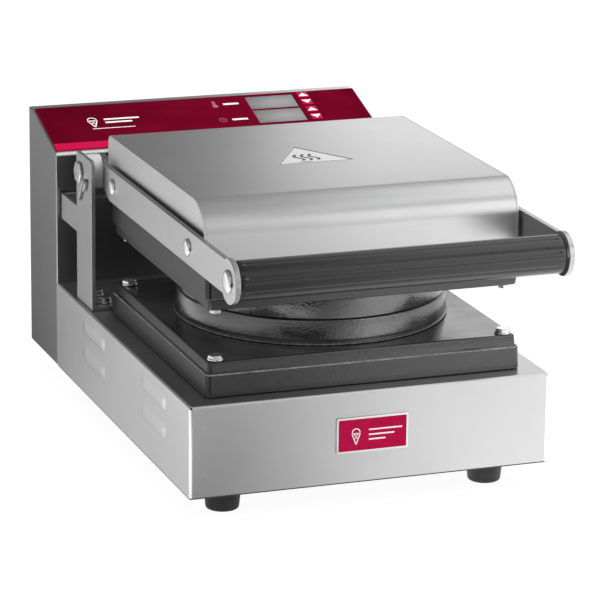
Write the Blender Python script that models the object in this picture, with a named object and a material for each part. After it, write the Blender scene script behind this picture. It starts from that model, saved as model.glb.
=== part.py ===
"""Waffle cone maker: a countertop baking iron with a hinged lid, a long front handle and a digital
control tower at the back. Metres, +Z up, the handle towards -Y, and the origin on the floor under
the middle of the whole object.

The sections run from the driving dimensions, through the small shape makers, to one function for each
sub-assembly. Y is measured back from the base's front face and placed by at_y().
"""

import math

import bmesh
import bpy
from mathutils import Matrix, Vector

# ---------------------------------------------------------------- driving dimensions
WIDTH = 0.280
SHEET = 0.0012  # stainless sheet
GAP = 0.0003  # between pieces that touch
BEND = 0.0025  # outer radius of a fold in the sheet
SIDES = {"left": -1, "right": 1}

FOOT_HEIGHT = 0.0217
FOOT_TOP_R = 0.0146
FOOT_BOTTOM_R = 0.0125
FEET_AT = {"front": (0.104, 0.033), "rear": (0.110, 0.398)}  # X and Y of each pair

BASE_BOTTOM = 0.021
BASE_TOP = 0.090
TOWER_FRONT = 0.348  # from the base's front face
TOWER_BACK = 0.427
TOWER_TOP = 0.219
TOWER_STRIP = 0.012  # flat strip behind the slope
SLOPE_LOW = 0.198  # where the slope starts, above the floor
LIP = 0.0025
LIP_HEIGHT = 0.0022

CASTING_HALF_X = 0.123
CASTING_FRONT = 0.0154
CASTING_BACK = 0.252
CASTING_CORNER = 0.0045
STEP_RISE = 0.009  # from a casting's flat to the step in its wall
LOWER_FLAT = 0.116
UPPER_FLAT = 0.1545
UPPER_TOP = 0.180
POCKET_WALL = 0.012
POCKET_ROOF = 0.008
LUG_HALF = 0.009
LUG_INNER_X = 0.104
DISC_R = 0.103
DISC_Y = 0.1337
PARTING = 0.1353  # height at which the two grid plates meet
CAVITY_R = 0.098
CAVITY_DEPTH = 0.0015
CASTING_BOLT_X = 0.1125
CASTING_BOLT_YS = {"front": 0.025, "rear": 0.236}
HEATER_R = 0.072
HEATER_DEPTH = 0.0125  # of a heater's middle under its casting's flat
INSULATION_DEPTH = 0.0185
INSULATION_HALF_X = 0.096
LID_INSULATION = 0.030

HINGE_Y = 0.291
HINGE_Z = 0.195
SHAFT_R = 0.005
BRACKET_X = (0.1335, 0.1365)
BRACKET_Y = (0.2585, 0.3005)
BRACKET_TOP = 0.2105
BRACKET_CORNER = 0.003
STRUT_Z = (0.1445, 0.1655)
STRUT_INNER_X = 0.121
FLANGE_INNER_X = 0.113
FLANGE_BOLT_X = 0.123
FLANGE_BOLT_YS = {"front": 0.2694, "rear": 0.2916}
BOSS_X = (0.1153, 0.1320)
BOSS_R = 0.0133
WASHER_R = 0.0125
LINK_X = (0.1159, 0.1199)
LINK_FRONT = 0.2185
LINK_HALF = 0.0085

ARM_X = (0.124, 0.128)
ARM_Z = (0.1835, 0.2095)
ARM_REAR = 0.257
ARM_REAR_CUT = (0.018, 0.007)  # the slanted lower corner at the arm's rear end
ARM_DISC_R = 0.0163
HANDLE_Y = -0.048
GRIP_R = 0.0143
ARM_BOLT_Z = 0.1965
ARM_BOLT_YS = {"front": 0.0425, "rear": 0.230}
ARM_BOLT_SHANK = 0.0165
GRIP_BOLT_SHANK = 0.0200

COVER_HALF_X = 0.122
COVER_TOP = 0.2312
COVER_FRONT = 0.0235
COVER_BACK = 0.261
COVER_BOTTOM = 0.1827
COVER_FRONT_BEND = 0.025
COVER_BACK_BEND = 0.006
NOTCH_TOP = 0.209  # where the hinge links pass through the cover's back
SIDE_PLATE_X = (0.1202, 0.1214)

SPRING_COIL_R = 0.0095
SPRING_WIRE_R = 0.0012
SPRING_TURNS = 5
SPRING_PITCH = 0.0034
SPRING_OUTER_X = 0.1135
SPRING_HOLE = (0.2880, 0.1745)  # Y and Z of the hole that the hooked end passes through

OVERLAY_S = (0.0035, 0.070)
OVERLAY_HALF_X = 0.1373
OVERLAY_THICK = 0.0006
DISPLAY_X = (0.041, 0.083)
DISPLAY_S = {"timer": (0.023, 0.044), "temp": (0.046, 0.0665)}
BUTTON_X = 0.092
BUTTON_S = {"timer_down": 0.028, "timer_up": 0.040, "temp_down": 0.0526, "temp_up": 0.0643}
BUTTON_HALF = 0.0045
BUTTON_DEEP = 0.006
CONSOLE_X = (0.037, 0.0985)
CONSOLE_S = (0.0205, 0.0690)
BOARD_DEPTH = 0.011

BADGE_HALF = (0.028, 0.0135)
BADGE_Z = 0.057
LOUVRE_LENGTH = 0.061
LOUVRE_HEIGHT = 0.0132
LOUVRE_RISE = 0.0024
LOUVRE_RAMP = 0.0043
LOUVRE_YS = (0.086, 0.2415)
LOUVRE_TOPS = (0.0820, 0.0597)

BOTTOM_VENT = (0.003, 0.025)  # half its width and length
REAR_VENT = (0.020, 0.0021)
REAR_VENT_Z = 0.137
INLET_AT = (-0.085, 0.059)  # X and Z of its middle on the rear panel
INLET_BODY = (0.0142, 0.0109)
INLET_FLANGE = (0.0245, 0.0135)
SWITCH_AT = (-0.035, 0.059)
SWITCH_BODY = (0.0102, 0.0147)
SWITCH_FLANGE = (0.0125, 0.0170)
ROCKER_REACH = 0.0032  # how far the switch stands behind the rear panel

# The handle's end disc is the foremost point and the switch the rearmost: the origin is midway.
FRONT = (ARM_DISC_R - HANDLE_Y - TOWER_BACK - ROCKER_REACH) / 2


def at_y(distance):
    """Y of a place that far behind the base's front face."""
    return FRONT + distance


# ---------------------------------------------------------------- materials
FINISHES = {
    "stainless": ((0.62, 0.62, 0.63), 0.32, 1.0),
    "black_casting": ((0.022, 0.022, 0.023), 0.38, 0.3),
    "crimson_film": ((0.130, 0.002, 0.013), 0.25, 0.0),
    "display_window": ((0.115, 0.115, 0.115), 0.20, 0.0),
    "black_grip": ((0.012, 0.012, 0.012), 0.42, 0.0),
    "bright_fastener": ((0.75, 0.75, 0.74), 0.22, 1.0),
    "black_rubber": ((0.015, 0.015, 0.015), 0.60, 0.0),
    "spring_steel": ((0.45, 0.45, 0.45), 0.30, 1.0),
    "nylon": ((0.70, 0.69, 0.66), 0.45, 0.0),
    "heater_sheath": ((0.16, 0.15, 0.14), 0.50, 0.9),
    "mineral_wool": ((0.62, 0.60, 0.54), 0.95, 0.0),
    "circuit_board": ((0.02, 0.12, 0.05), 0.45, 0.0),
    "black_plastic": ((0.018, 0.018, 0.019), 0.35, 0.0),
}


def make_materials():
    made = {}
    for name, (colour, roughness, metallic) in FINISHES.items():
        material = bpy.data.materials.new(name)
        material.use_nodes = True
        shader = material.node_tree.nodes["Principled BSDF"]
        shader.inputs["Base Color"].default_value = (*colour, 1.0)
        shader.inputs["Roughness"].default_value = roughness
        shader.inputs["Metallic"].default_value = metallic
        made[name] = material
    return made


# ---------------------------------------------------------------- shape makers
def add_object(name, bm, material, parent=None):
    """Makes the piece from world coordinates; a moving piece is parented to its joint's empty."""
    bmesh.ops.recalc_face_normals(bm, faces=bm.faces)
    mesh = bpy.data.meshes.new(name)
    bm.to_mesh(mesh)
    bm.free()
    mesh.materials.append(MATERIALS[material])
    mesh.shade_smooth()
    mesh.set_sharp_from_angle(angle=math.radians(35))
    piece = bpy.data.objects.new(name, mesh)
    bpy.context.scene.collection.objects.link(piece)
    if parent:
        piece.parent = parent
        piece.matrix_parent_inverse = Matrix.Translation(-Vector(parent.location))
    return piece


def add_joint_empty(name, place):
    empty = bpy.data.objects.new(name, None)
    empty.location = place
    bpy.context.scene.collection.objects.link(empty)
    return empty


def add_boolean(piece, operation, bm, name):
    """A Boolean modifier whose operand stays in the scene as a hidden wire shape."""
    tool = add_object(f"{piece.name}_{name}", bm, "black_plastic")
    tool.hide_render = True
    tool.display_type = "WIRE"
    modifier = piece.modifiers.new(name, "BOOLEAN")
    modifier.operation = operation
    modifier.object = tool
    modifier.solver = "EXACT"


def cut(piece, bm, name):
    add_boolean(piece, "DIFFERENCE", bm, name)


def loft(bm, rings):
    """A closed body through rings of the same number of points."""
    rows = [[bm.verts.new(point) for point in ring] for ring in rings]
    count = len(rows[0])
    for low, high in zip(rows, rows[1:]):
        for i in range(count):
            j = (i + 1) % count
            bm.faces.new((low[i], low[j], high[j], high[i]))
    bm.faces.new(rows[0])
    bm.faces.new(rows[-1])


def placed(axis, a, b, c):
    """The point at (a, b) across the named axis and c along it."""
    return {"X": (c, a, b), "Y": (a, c, b), "Z": (a, b, c)}[axis]


def prism(bm, outline, axis, low, high):
    loft(bm, [[placed(axis, a, b, c) for a, b in outline] for c in (low, high)])


def box(bm, xs, ys, zs):
    outline = [(xs[0], ys[0]), (xs[1], ys[0]), (xs[1], ys[1]), (xs[0], ys[1])]
    prism(bm, outline, "Z", zs[0], zs[1])


def arc(centre, radius, start, end, count):
    """Points on an arc, its angles in degrees."""
    angles = (math.radians(start + (end - start) * i / (count - 1)) for i in range(count))
    return [(centre[0] + radius * math.cos(t), centre[1] + radius * math.sin(t)) for t in angles]


def circle(centre, radius, count):
    return arc(centre, radius, 0, 360 * (count - 1) / count, count)


def rounded_rectangle(xs, ys, radius, count=4):
    low_x, high_x, low_y, high_y = xs[0] + radius, xs[1] - radius, ys[0] + radius, ys[1] - radius
    centres = [(high_x, high_y), (low_x, high_y), (low_x, low_y), (high_x, low_y)]
    outline = []
    for quarter, centre in enumerate(centres):
        outline += arc(centre, radius, 90 * quarter, 90 * quarter + 90, count)
    return outline


def stack(bm, axis, origin, layers):
    """A closed body through (outline, height) layers, about a point, along one axis either way."""
    rings = []
    for outline, height in layers:
        a0, b0 = (origin[i] for i in range(3) if "XYZ"[i] != axis)
        c = origin["XYZ".index(axis)] + height
        rings.append([placed(axis, a0 + a, b0 + b, c) for a, b in outline])
    loft(bm, rings)


def turned(bm, axis, origin, profile, count):
    stack(bm, axis, origin, [(circle((0, 0), r, count), height) for r, height in profile])


def ring(bm, axis, origin, inner, outer, low, high, count):
    """A washer: a closed body turned from a rectangle that doesn't reach the axis."""
    section = [(inner, low), (outer, low), (outer, high), (inner, high)]
    a0, b0 = (origin[i] for i in range(3) if "XYZ"[i] != axis)
    c0 = origin["XYZ".index(axis)]
    rows = []
    for k in range(count):
        t = 2 * math.pi * k / count
        points = [(a0 + r * math.cos(t), b0 + r * math.sin(t), c0 + h) for r, h in section]
        rows.append([bm.verts.new(placed(axis, *point)) for point in points])
    for k in range(count):
        near, far = rows[k], rows[(k + 1) % count]
        for i in range(4):
            j = (i + 1) % 4
            bm.faces.new((near[i], near[j], far[j], far[i]))


def hexagon(across_flats):
    """A hexagon as 12 points: its corners and the middles of its sides."""
    corner = across_flats / math.sqrt(3)
    radii = [corner if i % 2 == 0 else across_flats / 2 for i in range(12)]
    return [(r * math.cos(math.pi * i / 6), r * math.sin(math.pi * i / 6)) for i, r in enumerate(radii)]


def tube(bm, path, radius, sides):
    """A round bar along a path of points, with flat ends."""
    rings = []
    side = None
    for i, point in enumerate(path):
        before = path[max(i - 1, 0)]
        after = path[min(i + 1, len(path) - 1)]
        along = (Vector(after) - Vector(before)).normalized()
        side = along.orthogonal() if side is None else side
        side = (side - along * side.dot(along)).normalized()
        other = along.cross(side)
        turns = (2 * math.pi * k / sides for k in range(sides))
        rings.append([Vector(point) + radius * (side * math.cos(t) + other * math.sin(t)) for t in turns])
    loft(bm, rings)


def bevel_edges(bm, chosen, width, segments=2):
    bmesh.ops.bevel(
        bm,
        geom=[edge for edge in bm.edges if chosen(edge)],
        offset=width,
        segments=segments,
        affect="EDGES",
        profile=0.5,
    )


def add_bolt(name, place, axis, outwards, across_flats, head, shank_r, shank):
    """A hex bolt with a washer face; outwards is +1 or -1 along the axis, place under its head."""
    flange = across_flats * 0.62
    layers = [
        (circle((0, 0), shank_r, 12), -shank),
        (circle((0, 0), shank_r, 12), 0),
        (circle((0, 0), flange, 12), 0),
        (circle((0, 0), flange, 12), 0.0010),
        (hexagon(across_flats), 0.0012),
        (hexagon(across_flats), head - 0.0006),
        (hexagon(across_flats * 0.90), head),
    ]
    bm = bmesh.new()
    stack(bm, axis, place, [(outline, outwards * height) for outline, height in layers])
    return add_object(name, bm, "bright_fastener")


def add_dome_bolt(name, place, outwards, head_r, head, shank_r, shank):
    """A round-head bolt of the lid, across X."""
    dome = [(head_r, 0), (head_r, head * 0.3), (head_r * 0.85, head * 0.72), (head_r * 0.5, head)]
    profile = [(shank_r, -shank), (shank_r, 0)] + dome
    bm = bmesh.new()
    turned(bm, "X", place, [(r, outwards * height) for r, height in profile], 16)
    return add_object(name, bm, "bright_fastener", LID)


# ---------------------------------------------------------------- base
def make_base_shell():
    """The folded and welded base: top, front and both sides, open below and behind."""
    half = WIDTH / 2
    ys = (at_y(0), at_y(TOWER_FRONT) - GAP)

    def shell_block(inset, bottom, back, radius):
        bm = bmesh.new()
        box(bm, (inset - half, half - inset), (ys[0] + inset, back), (bottom, BASE_TOP - inset))

        def is_fold(edge):
            middle = (edge.verts[0].co + edge.verts[1].co) / 2
            on_top = middle.z > BASE_TOP - inset - 1e-6
            at_front = middle.y < ys[0] + inset + 1e-6
            at_side = abs(middle.x) > half - inset - 1e-6
            return sum((on_top, at_front, at_side)) == 2

        bevel_edges(bm, is_fold, radius)
        return bm

    shell = add_object("base_shell", shell_block(0, BASE_BOTTOM, ys[1], BEND), "stainless")
    cut(shell, shell_block(SHEET, BASE_BOTTOM - 0.01, ys[1] + 0.01, BEND - SHEET), "hollow")
    hoods = bmesh.new()
    slots = bmesh.new()
    for side in SIDES.values():
        for y in LOUVRE_YS:
            for top in LOUVRE_TOPS:
                add_louvre(hoods, side, at_y(y), top, 0)
                add_louvre(slots, side, at_y(y), top, 0.0010)
    add_boolean(shell, "UNION", hoods, "louvres")
    cut(shell, slots, "louvre_slots")


def add_louvre(bm, side, y, top, inset):
    """One pressed hood, open along its lower edge; inset makes the space under it."""
    bottom = top - LOUVRE_HEIGHT
    foot_x = WIDTH / 2 - (0.0004 if inset == 0 else 0.0020)
    face_x = WIDTH / 2 + LOUVRE_RISE - inset
    rings = []
    for x, end, head, low in ((foot_x, 0, 0, 0.0006), (face_x, LOUVRE_RAMP, LOUVRE_RAMP, -0.0005)):
        reach = LOUVRE_LENGTH / 2 - end - inset
        z0 = bottom + (low if inset else 0)
        z1 = top - head - inset
        ring_points = [(y - reach, z0), (y + reach, z0), (y + reach, z1), (y - reach, z1)]
        rings.append([(side * x, a, b) for a, b in ring_points])
    loft(bm, rings)


def make_bottom_plate():
    inner = WIDTH / 2 - SHEET - GAP
    bm = bmesh.new()
    ys = (at_y(SHEET + GAP), at_y(TOWER_BACK - 0.002))
    outline = rounded_rectangle((-inner, inner), ys, BEND, 3)
    prism(bm, outline, "Z", FOOT_HEIGHT + GAP, FOOT_HEIGHT + GAP + SHEET)
    plate = add_object("bottom_plate", bm, "stainless")
    slots = bmesh.new()
    half_x, half_y = BOTTOM_VENT
    for row in range(2):
        for column in range(6):
            x = 0.025 * (column - 2.5)
            y = at_y(0.110 * (row + 1))
            box(slots, (x - half_x, x + half_x), (y - half_y, y + half_y), (BASE_BOTTOM, BASE_BOTTOM + 0.006))
    cut(plate, slots, "vents")


def make_feet():
    for side_name, side in SIDES.items():
        for row, (x, y) in FEET_AT.items():
            bm = bmesh.new()
            profile = [
                (FOOT_BOTTOM_R - 0.002, 0),
                (FOOT_BOTTOM_R - 0.0006, 0.0006),
                (FOOT_BOTTOM_R, 0.002),
                (FOOT_TOP_R, FOOT_HEIGHT),
            ]
            turned(bm, "Z", (side * x, at_y(y), 0), profile, 24)
            add_object(f"foot_{row}_{side_name}", bm, "black_rubber")


def make_badge():
    bm = bmesh.new()
    half_x, half_z = BADGE_HALF
    outline = rounded_rectangle((-half_x, half_x), (BADGE_Z - half_z, BADGE_Z + half_z), 0.001, 3)
    prism(bm, outline, "Y", at_y(0) - GAP - 0.0012, at_y(0) - GAP)
    add_object("front_badge", bm, "crimson_film")


# ---------------------------------------------------------------- castings and grid plates
def casting_rings(profile):
    """Rounded rectangles at (height, inset) steps of a casting's wall."""
    rings = []
    for z, inset in profile:
        xs = (inset - CASTING_HALF_X, CASTING_HALF_X - inset)
        ys = (at_y(CASTING_FRONT + inset), at_y(CASTING_BACK - inset))
        rings.append([(x, y, z) for x, y in rounded_rectangle(xs, ys, CASTING_CORNER - inset / 2)])
    return rings


def pocket(bm, low, high):
    wall = POCKET_WALL
    xs = (wall - CASTING_HALF_X, CASTING_HALF_X - wall)
    ys = (at_y(CASTING_FRONT + wall), at_y(CASTING_BACK - wall))
    prism(bm, rounded_rectangle(xs, ys, 0.004, 3), "Z", low, high)


def bolt_holes(bm, low, high):
    for side in SIDES.values():
        for y in CASTING_BOLT_YS.values():
            centre = (side * CASTING_BOLT_X, at_y(y))
            prism(bm, circle(centre, 0.0034, 12), "Z", low, high)


def make_lower_casting():
    bottom = BASE_TOP + GAP
    step = LOWER_FLAT - STEP_RISE
    profile = [
        (bottom, 0),
        (step - 0.0008, 0.0007),
        (step, 0.0015),
        (LOWER_FLAT - 0.0008, 0.0033),
        (LOWER_FLAT, 0.0041),
    ]
    bm = bmesh.new()
    loft(bm, casting_rings(profile))
    casting = add_object("lower_casting", bm, "black_casting")
    space = bmesh.new()
    pocket(space, bottom - 0.01, LOWER_FLAT - POCKET_ROOF)
    cut(casting, space, "heater_pocket")
    holes = bmesh.new()
    bolt_holes(holes, LOWER_FLAT - 0.0045, LOWER_FLAT + 0.01)
    cut(casting, holes, "bolt_holes")


def make_upper_casting():
    step = UPPER_FLAT + STEP_RISE
    profile = [
        (UPPER_FLAT, 0.0041),
        (UPPER_FLAT + 0.0008, 0.0033),
        (step, 0.0015),
        (step + 0.0008, 0.0007),
        (UPPER_TOP, 0),
    ]
    bm = bmesh.new()
    loft(bm, casting_rings(profile))
    casting = add_object("upper_casting", bm, "black_casting", LID)
    space = bmesh.new()
    pocket(space, UPPER_FLAT + POCKET_ROOF, UPPER_TOP + 0.01)
    cut(casting, space, "heater_pocket")
    lugs = bmesh.new()
    lug_ends = {"front": SIDE_PLATE_X[0] - GAP, "rear": LINK_X[0] - GAP}
    for side in SIDES.values():
        for row, y in ARM_BOLT_YS.items():
            xs = sorted((side * LUG_INNER_X, side * lug_ends[row]))
            zs = (UPPER_TOP - 0.005, ARM_BOLT_Z + LUG_HALF)
            box(lugs, xs, (at_y(y) - LUG_HALF, at_y(y) + LUG_HALF), zs)
    add_boolean(casting, "UNION", lugs, "lugs")
    holes = bmesh.new()
    bolt_holes(holes, UPPER_FLAT - 0.01, UPPER_FLAT + 0.0045)
    for side in SIDES.values():
        for y in ARM_BOLT_YS.values():
            xs = sorted(side * x for x in (0.110, 0.125))
            prism(holes, circle((at_y(y), ARM_BOLT_Z), 0.0034, 12), "X", *xs)
    cut(casting, holes, "bolt_holes")


def disc_profile(root, face):
    """The drafted rim of a grid plate, from its casting (root) to its baking face."""
    up = math.copysign(1, face - root)
    steps = [(0, 0.0010), (0.0016, 0.0010), (0.0020, -0.0016), (0.0038, -0.0016), (0.0044, 0)]
    rim = [(DISC_R + grow, root + up * rise) for rise, grow in steps]
    inner_face = face - up * CAVITY_DEPTH
    return rim + [
        (DISC_R - 0.0008, face - up * 0.0006),
        (DISC_R - 0.0014, face),
        (CAVITY_R, face),
        (CAVITY_R - 0.001, inner_face),
    ]


def make_grid_plate(name, root, face, parent=None):
    bm = bmesh.new()
    turned(bm, "Z", (0, at_y(DISC_Y), 0), disc_profile(root, face), 48)
    add_object(name, bm, "black_casting", parent)


def make_heater(name, height, parent=None):
    """A tubular element bent into an open ring."""
    path = [(x, y, height) for x, y in arc((0, at_y(DISC_Y)), HEATER_R, 102, 438, 29)]
    bm = bmesh.new()
    tube(bm, path, 0.0040, 8)
    add_object(name, bm, "heater_sheath", parent)


def make_insulation(name, low, high, parent=None):
    bm = bmesh.new()
    ys = (at_y(CASTING_FRONT + 0.022), at_y(CASTING_BACK - 0.022))
    box(bm, (-INSULATION_HALF_X, INSULATION_HALF_X), ys, (low, high))
    add_object(name, bm, "mineral_wool", parent)


def make_cooking_parts():
    make_lower_casting()
    make_grid_plate("lower_grid_plate", LOWER_FLAT + GAP, PARTING - GAP / 2)
    make_heater("lower_heater", LOWER_FLAT - HEATER_DEPTH)
    make_insulation("lower_insulation", BASE_TOP + 0.001, LOWER_FLAT - INSULATION_DEPTH)
    make_upper_casting()
    make_grid_plate("upper_grid_plate", UPPER_FLAT - GAP, PARTING + GAP / 2, LID)
    make_heater("upper_heater", UPPER_FLAT + HEATER_DEPTH, LID)
    low = UPPER_FLAT + INSULATION_DEPTH
    make_insulation("upper_insulation", low, low + LID_INSULATION, LID)
    for side_name, side in SIDES.items():
        for row, y in CASTING_BOLT_YS.items():
            lower = (side * CASTING_BOLT_X, at_y(y), LOWER_FLAT + GAP)
            add_bolt(f"lower_casting_bolt_{row}_{side_name}", lower, "Z", 1, 0.010, 0.0037, 0.003, 0.004)


# ---------------------------------------------------------------- hinge
def make_hinge_bracket(side_name, side):
    """A plate with a flange on the base and a strut back to the tower."""
    y0, y1 = (at_y(y) for y in BRACKET_Y)
    tower = at_y(TOWER_FRONT) - LIP - 2 * GAP
    bottom = BASE_TOP + GAP
    thick = BRACKET_X[1] - BRACKET_X[0]
    outline = [
        (y0, bottom),
        (y1, bottom),
        (y1, STRUT_Z[0]),
        (tower, STRUT_Z[0]),
        (tower, STRUT_Z[1]),
        (y1, STRUT_Z[1]),
        (y1, BRACKET_TOP),
        (y0 + BRACKET_CORNER, BRACKET_TOP),
        (y0, BRACKET_TOP - BRACKET_CORNER),
    ]
    bm = bmesh.new()
    prism(bm, outline, "X", *sorted(side * x for x in BRACKET_X))
    bracket = add_object(f"hinge_bracket_{side_name}", bm, "stainless")
    flanges = bmesh.new()
    xs = sorted((side * FLANGE_INNER_X, side * (BRACKET_X[0] + 0.001)))
    box(flanges, xs, (y0, y1), (bottom, bottom + thick))
    xs = sorted((side * STRUT_INNER_X, side * (BRACKET_X[0] + 0.001)))
    box(flanges, xs, (tower - thick, tower), STRUT_Z)
    add_boolean(bracket, "UNION", flanges, "flanges")
    holes = bmesh.new()
    hinge = (at_y(HINGE_Y), HINGE_Z)
    prism(holes, circle(hinge, SHAFT_R + GAP, 16), "X", *sorted((side * 0.12, side * 0.15)))
    for y in FLANGE_BOLT_YS.values():
        centre = (side * FLANGE_BOLT_X, at_y(y))
        prism(holes, circle(centre, 0.0029, 12), "Z", bottom - 0.01, bottom + 0.02)
    spring_hole = circle((at_y(SPRING_HOLE[0]), SPRING_HOLE[1]), SPRING_WIRE_R + 2 * GAP, 10)
    prism(holes, spring_hole, "X", *sorted((side * 0.12, side * 0.15)))
    cut(bracket, holes, "holes")


def make_hinge_link(side_name, side):
    """The lid's hinge plate: bolted inside the lid's side, with a turned boss about the shaft."""
    hinge = (at_y(HINGE_Y), HINGE_Z)
    outline = [(at_y(LINK_FRONT), ARM_BOLT_Z + LINK_HALF), (at_y(LINK_FRONT), ARM_BOLT_Z - LINK_HALF)]
    outline += arc(hinge, BOSS_R - 0.0006, -90, 90, 13)
    bm = bmesh.new()
    prism(bm, outline, "X", *sorted(side * x for x in LINK_X))
    link = add_object(f"hinge_link_{side_name}", bm, "stainless", LID)
    boss = bmesh.new()
    prism(boss, circle(hinge, BOSS_R, 36), "X", *sorted(side * x for x in BOSS_X))
    add_boolean(link, "UNION", boss, "boss")
    bores = bmesh.new()
    span = sorted((side * 0.10, side * 0.14))
    prism(bores, circle(hinge, SHAFT_R + GAP, 20), "X", *span)
    prism(bores, circle((at_y(ARM_BOLT_YS["rear"]), ARM_BOLT_Z), 0.0034, 12), "X", *span)
    cut(link, bores, "bores")


def spring_path(side):
    """A hook outside the bracket, through its hole, the coil about the shaft, and a short inner leg."""
    y0, z0 = at_y(HINGE_Y), HINGE_Z
    hole_y, hole_z = at_y(SPRING_HOLE[0]), SPRING_HOLE[1]
    outside = BRACKET_X[1] + SPRING_WIRE_R + GAP
    hook = [(-0.0135, 0.0095), (-0.0175, 0.0160), (-0.0155, 0.0185), (-0.0120, 0.0170), (-0.0010, 0.0010)]
    path = [(side * outside, hole_y + y, hole_z + z) for y, z in hook]
    path += [
        (side * (outside - 0.0010), hole_y, hole_z),
        (side * (SPRING_OUTER_X + 0.001), hole_y, hole_z),
        (side * SPRING_OUTER_X, hole_y + 0.001, hole_z + 0.002),
    ]
    for i in range(SPRING_TURNS * 10 + 1):
        t = -math.pi / 2 + 2 * math.pi * i / 10
        x = SPRING_OUTER_X - SPRING_PITCH * i / 10
        path.append((side * x, y0 + SPRING_COIL_R * math.cos(t), z0 + SPRING_COIL_R * math.sin(t)))
    inner_x = SPRING_OUTER_X - SPRING_PITCH * SPRING_TURNS - 0.0004
    path.append((side * inner_x, y0 - 0.012, z0 - SPRING_COIL_R))
    path.append((side * inner_x, y0 - 0.023, z0 - SPRING_COIL_R))
    return path


def make_hinge():
    for side_name, side in SIDES.items():
        make_hinge_bracket(side_name, side)
        place = (side * BRACKET_X[0], at_y(HINGE_Y), HINGE_Z)
        bm = bmesh.new()
        make_hinge_link(side_name, side)
        reach = BRACKET_X[0] - BOSS_X[1] - GAP
        span = sorted((-side * GAP, -side * reach))
        ring(bm, "X", place, SHAFT_R + GAP, WASHER_R, *span, 24)
        add_object(f"pivot_washer_{side_name}", bm, "nylon")
        bm = bmesh.new()
        tube(bm, spring_path(side), SPRING_WIRE_R, 6)
        add_object(f"torsion_spring_{side_name}", bm, "spring_steel")
        nut = [
            (hexagon(0.016), 0),
            (hexagon(0.016), 0.0016),
            (hexagon(0.0145), 0.0023),
        ]
        place = (side * (BRACKET_X[1] + GAP), at_y(HINGE_Y), HINGE_Z)
        bm = bmesh.new()
        stack(bm, "X", place, [(outline, side * height) for outline, height in nut])
        add_object(f"hinge_nut_{side_name}", bm, "bright_fastener")
        for row, y in FLANGE_BOLT_YS.items():
            head_z = BASE_TOP + GAP + BRACKET_X[1] - BRACKET_X[0] + GAP
            place = (side * FLANGE_BOLT_X, at_y(y), head_z)
            add_bolt(f"bracket_bolt_{row}_{side_name}", place, "Z", 1, 0.0095, 0.0045, 0.0026, 0.003)
    bm = bmesh.new()
    half = BRACKET_X[1]
    turned(bm, "X", (0, at_y(HINGE_Y), HINGE_Z), [(SHAFT_R, -half), (SHAFT_R, half)], 20)
    add_object("hinge_shaft", bm, "bright_fastener")


# ---------------------------------------------------------------- lid
def cover_outline(inset):
    """The wrap's outline from its back foot over the top to its front foot, in (y, z)."""
    back, front, top = at_y(COVER_BACK) - inset, at_y(COVER_FRONT) + inset, COVER_TOP - inset
    outline = [(back, COVER_BOTTOM)]
    r = COVER_BACK_BEND - inset
    outline += arc((back - r, top - r), r, 0, 90, 4)
    r = COVER_FRONT_BEND - inset
    outline += arc((front + r, top - r), r, 90, 180, 9)
    outline.append((front, COVER_BOTTOM))
    return outline


def make_lid_cover():
    bm = bmesh.new()
    outline = cover_outline(0) + cover_outline(SHEET)[::-1]
    prism(bm, outline, "X", -COVER_HALF_X, COVER_HALF_X)
    cover = add_object("lid_cover", bm, "stainless", LID)
    notches = bmesh.new()
    for side in SIDES.values():
        xs = sorted((side * (LINK_X[0] - GAP), side * (COVER_HALF_X + 0.001)))
        ys = (at_y(COVER_BACK - SHEET) - 0.001, at_y(COVER_BACK) + 0.001)
        box(notches, xs, ys, (COVER_BOTTOM - 0.001, NOTCH_TOP))
    cut(cover, notches, "hinge_notches")
    for side_name, side in SIDES.items():
        bm = bmesh.new()
        prism(bm, cover_outline(SHEET + GAP), "X", *sorted(side * x for x in SIDE_PLATE_X))
        plate = add_object(f"lid_side_{side_name}", bm, "stainless", LID)
        holes = bmesh.new()
        for y in ARM_BOLT_YS.values():
            centre = (at_y(y), ARM_BOLT_Z)
            prism(holes, circle(centre, 0.0034, 12), "X", *sorted((side * 0.115, side * 0.125)))
        cut(plate, holes, "bolt_holes")


def arm_outline():
    """A flat bar with a large round end at the grip and one corner cut away at the rear, in (y, z)."""
    front = (at_y(HANDLE_Y), HINGE_Z)
    above = math.degrees(math.asin((ARM_Z[1] - HINGE_Z) / ARM_DISC_R))
    below = math.degrees(math.asin((HINGE_Z - ARM_Z[0]) / ARM_DISC_R))
    outline = arc(front, ARM_DISC_R, above, 360 - below, 25)
    rear = at_y(ARM_REAR)
    outline.append((rear - ARM_REAR_CUT[0], ARM_Z[0]))
    outline.append((rear, ARM_Z[0] + ARM_REAR_CUT[1]))
    outline.append((rear, ARM_Z[1]))
    return outline


def make_handle():
    for side_name, side in SIDES.items():
        bm = bmesh.new()
        prism(bm, arm_outline(), "X", *sorted(side * x for x in ARM_X))
        arm = add_object(f"handle_arm_{side_name}", bm, "stainless", LID)
        holes = bmesh.new()
        span = sorted((side * 0.12, side * 0.135))
        prism(holes, circle((at_y(HANDLE_Y), HINGE_Z), 0.0044, 12), "X", *span)
        for y in ARM_BOLT_YS.values():
            prism(holes, circle((at_y(y), ARM_BOLT_Z), 0.0034, 12), "X", *span)
        cut(arm, holes, "holes")
        for row, y in ARM_BOLT_YS.items():
            place = (side * (ARM_X[1] + GAP), at_y(y), ARM_BOLT_Z)
            add_dome_bolt(f"arm_bolt_{row}_{side_name}", place, side, 0.0065, 0.0020, 0.003, ARM_BOLT_SHANK)
        place = (side * (ARM_X[1] + GAP), at_y(HANDLE_Y), HINGE_Z)
        add_dome_bolt(f"grip_bolt_{side_name}", place, side, 0.0085, 0.0022, 0.004, GRIP_BOLT_SHANK)
    make_grip()


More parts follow.
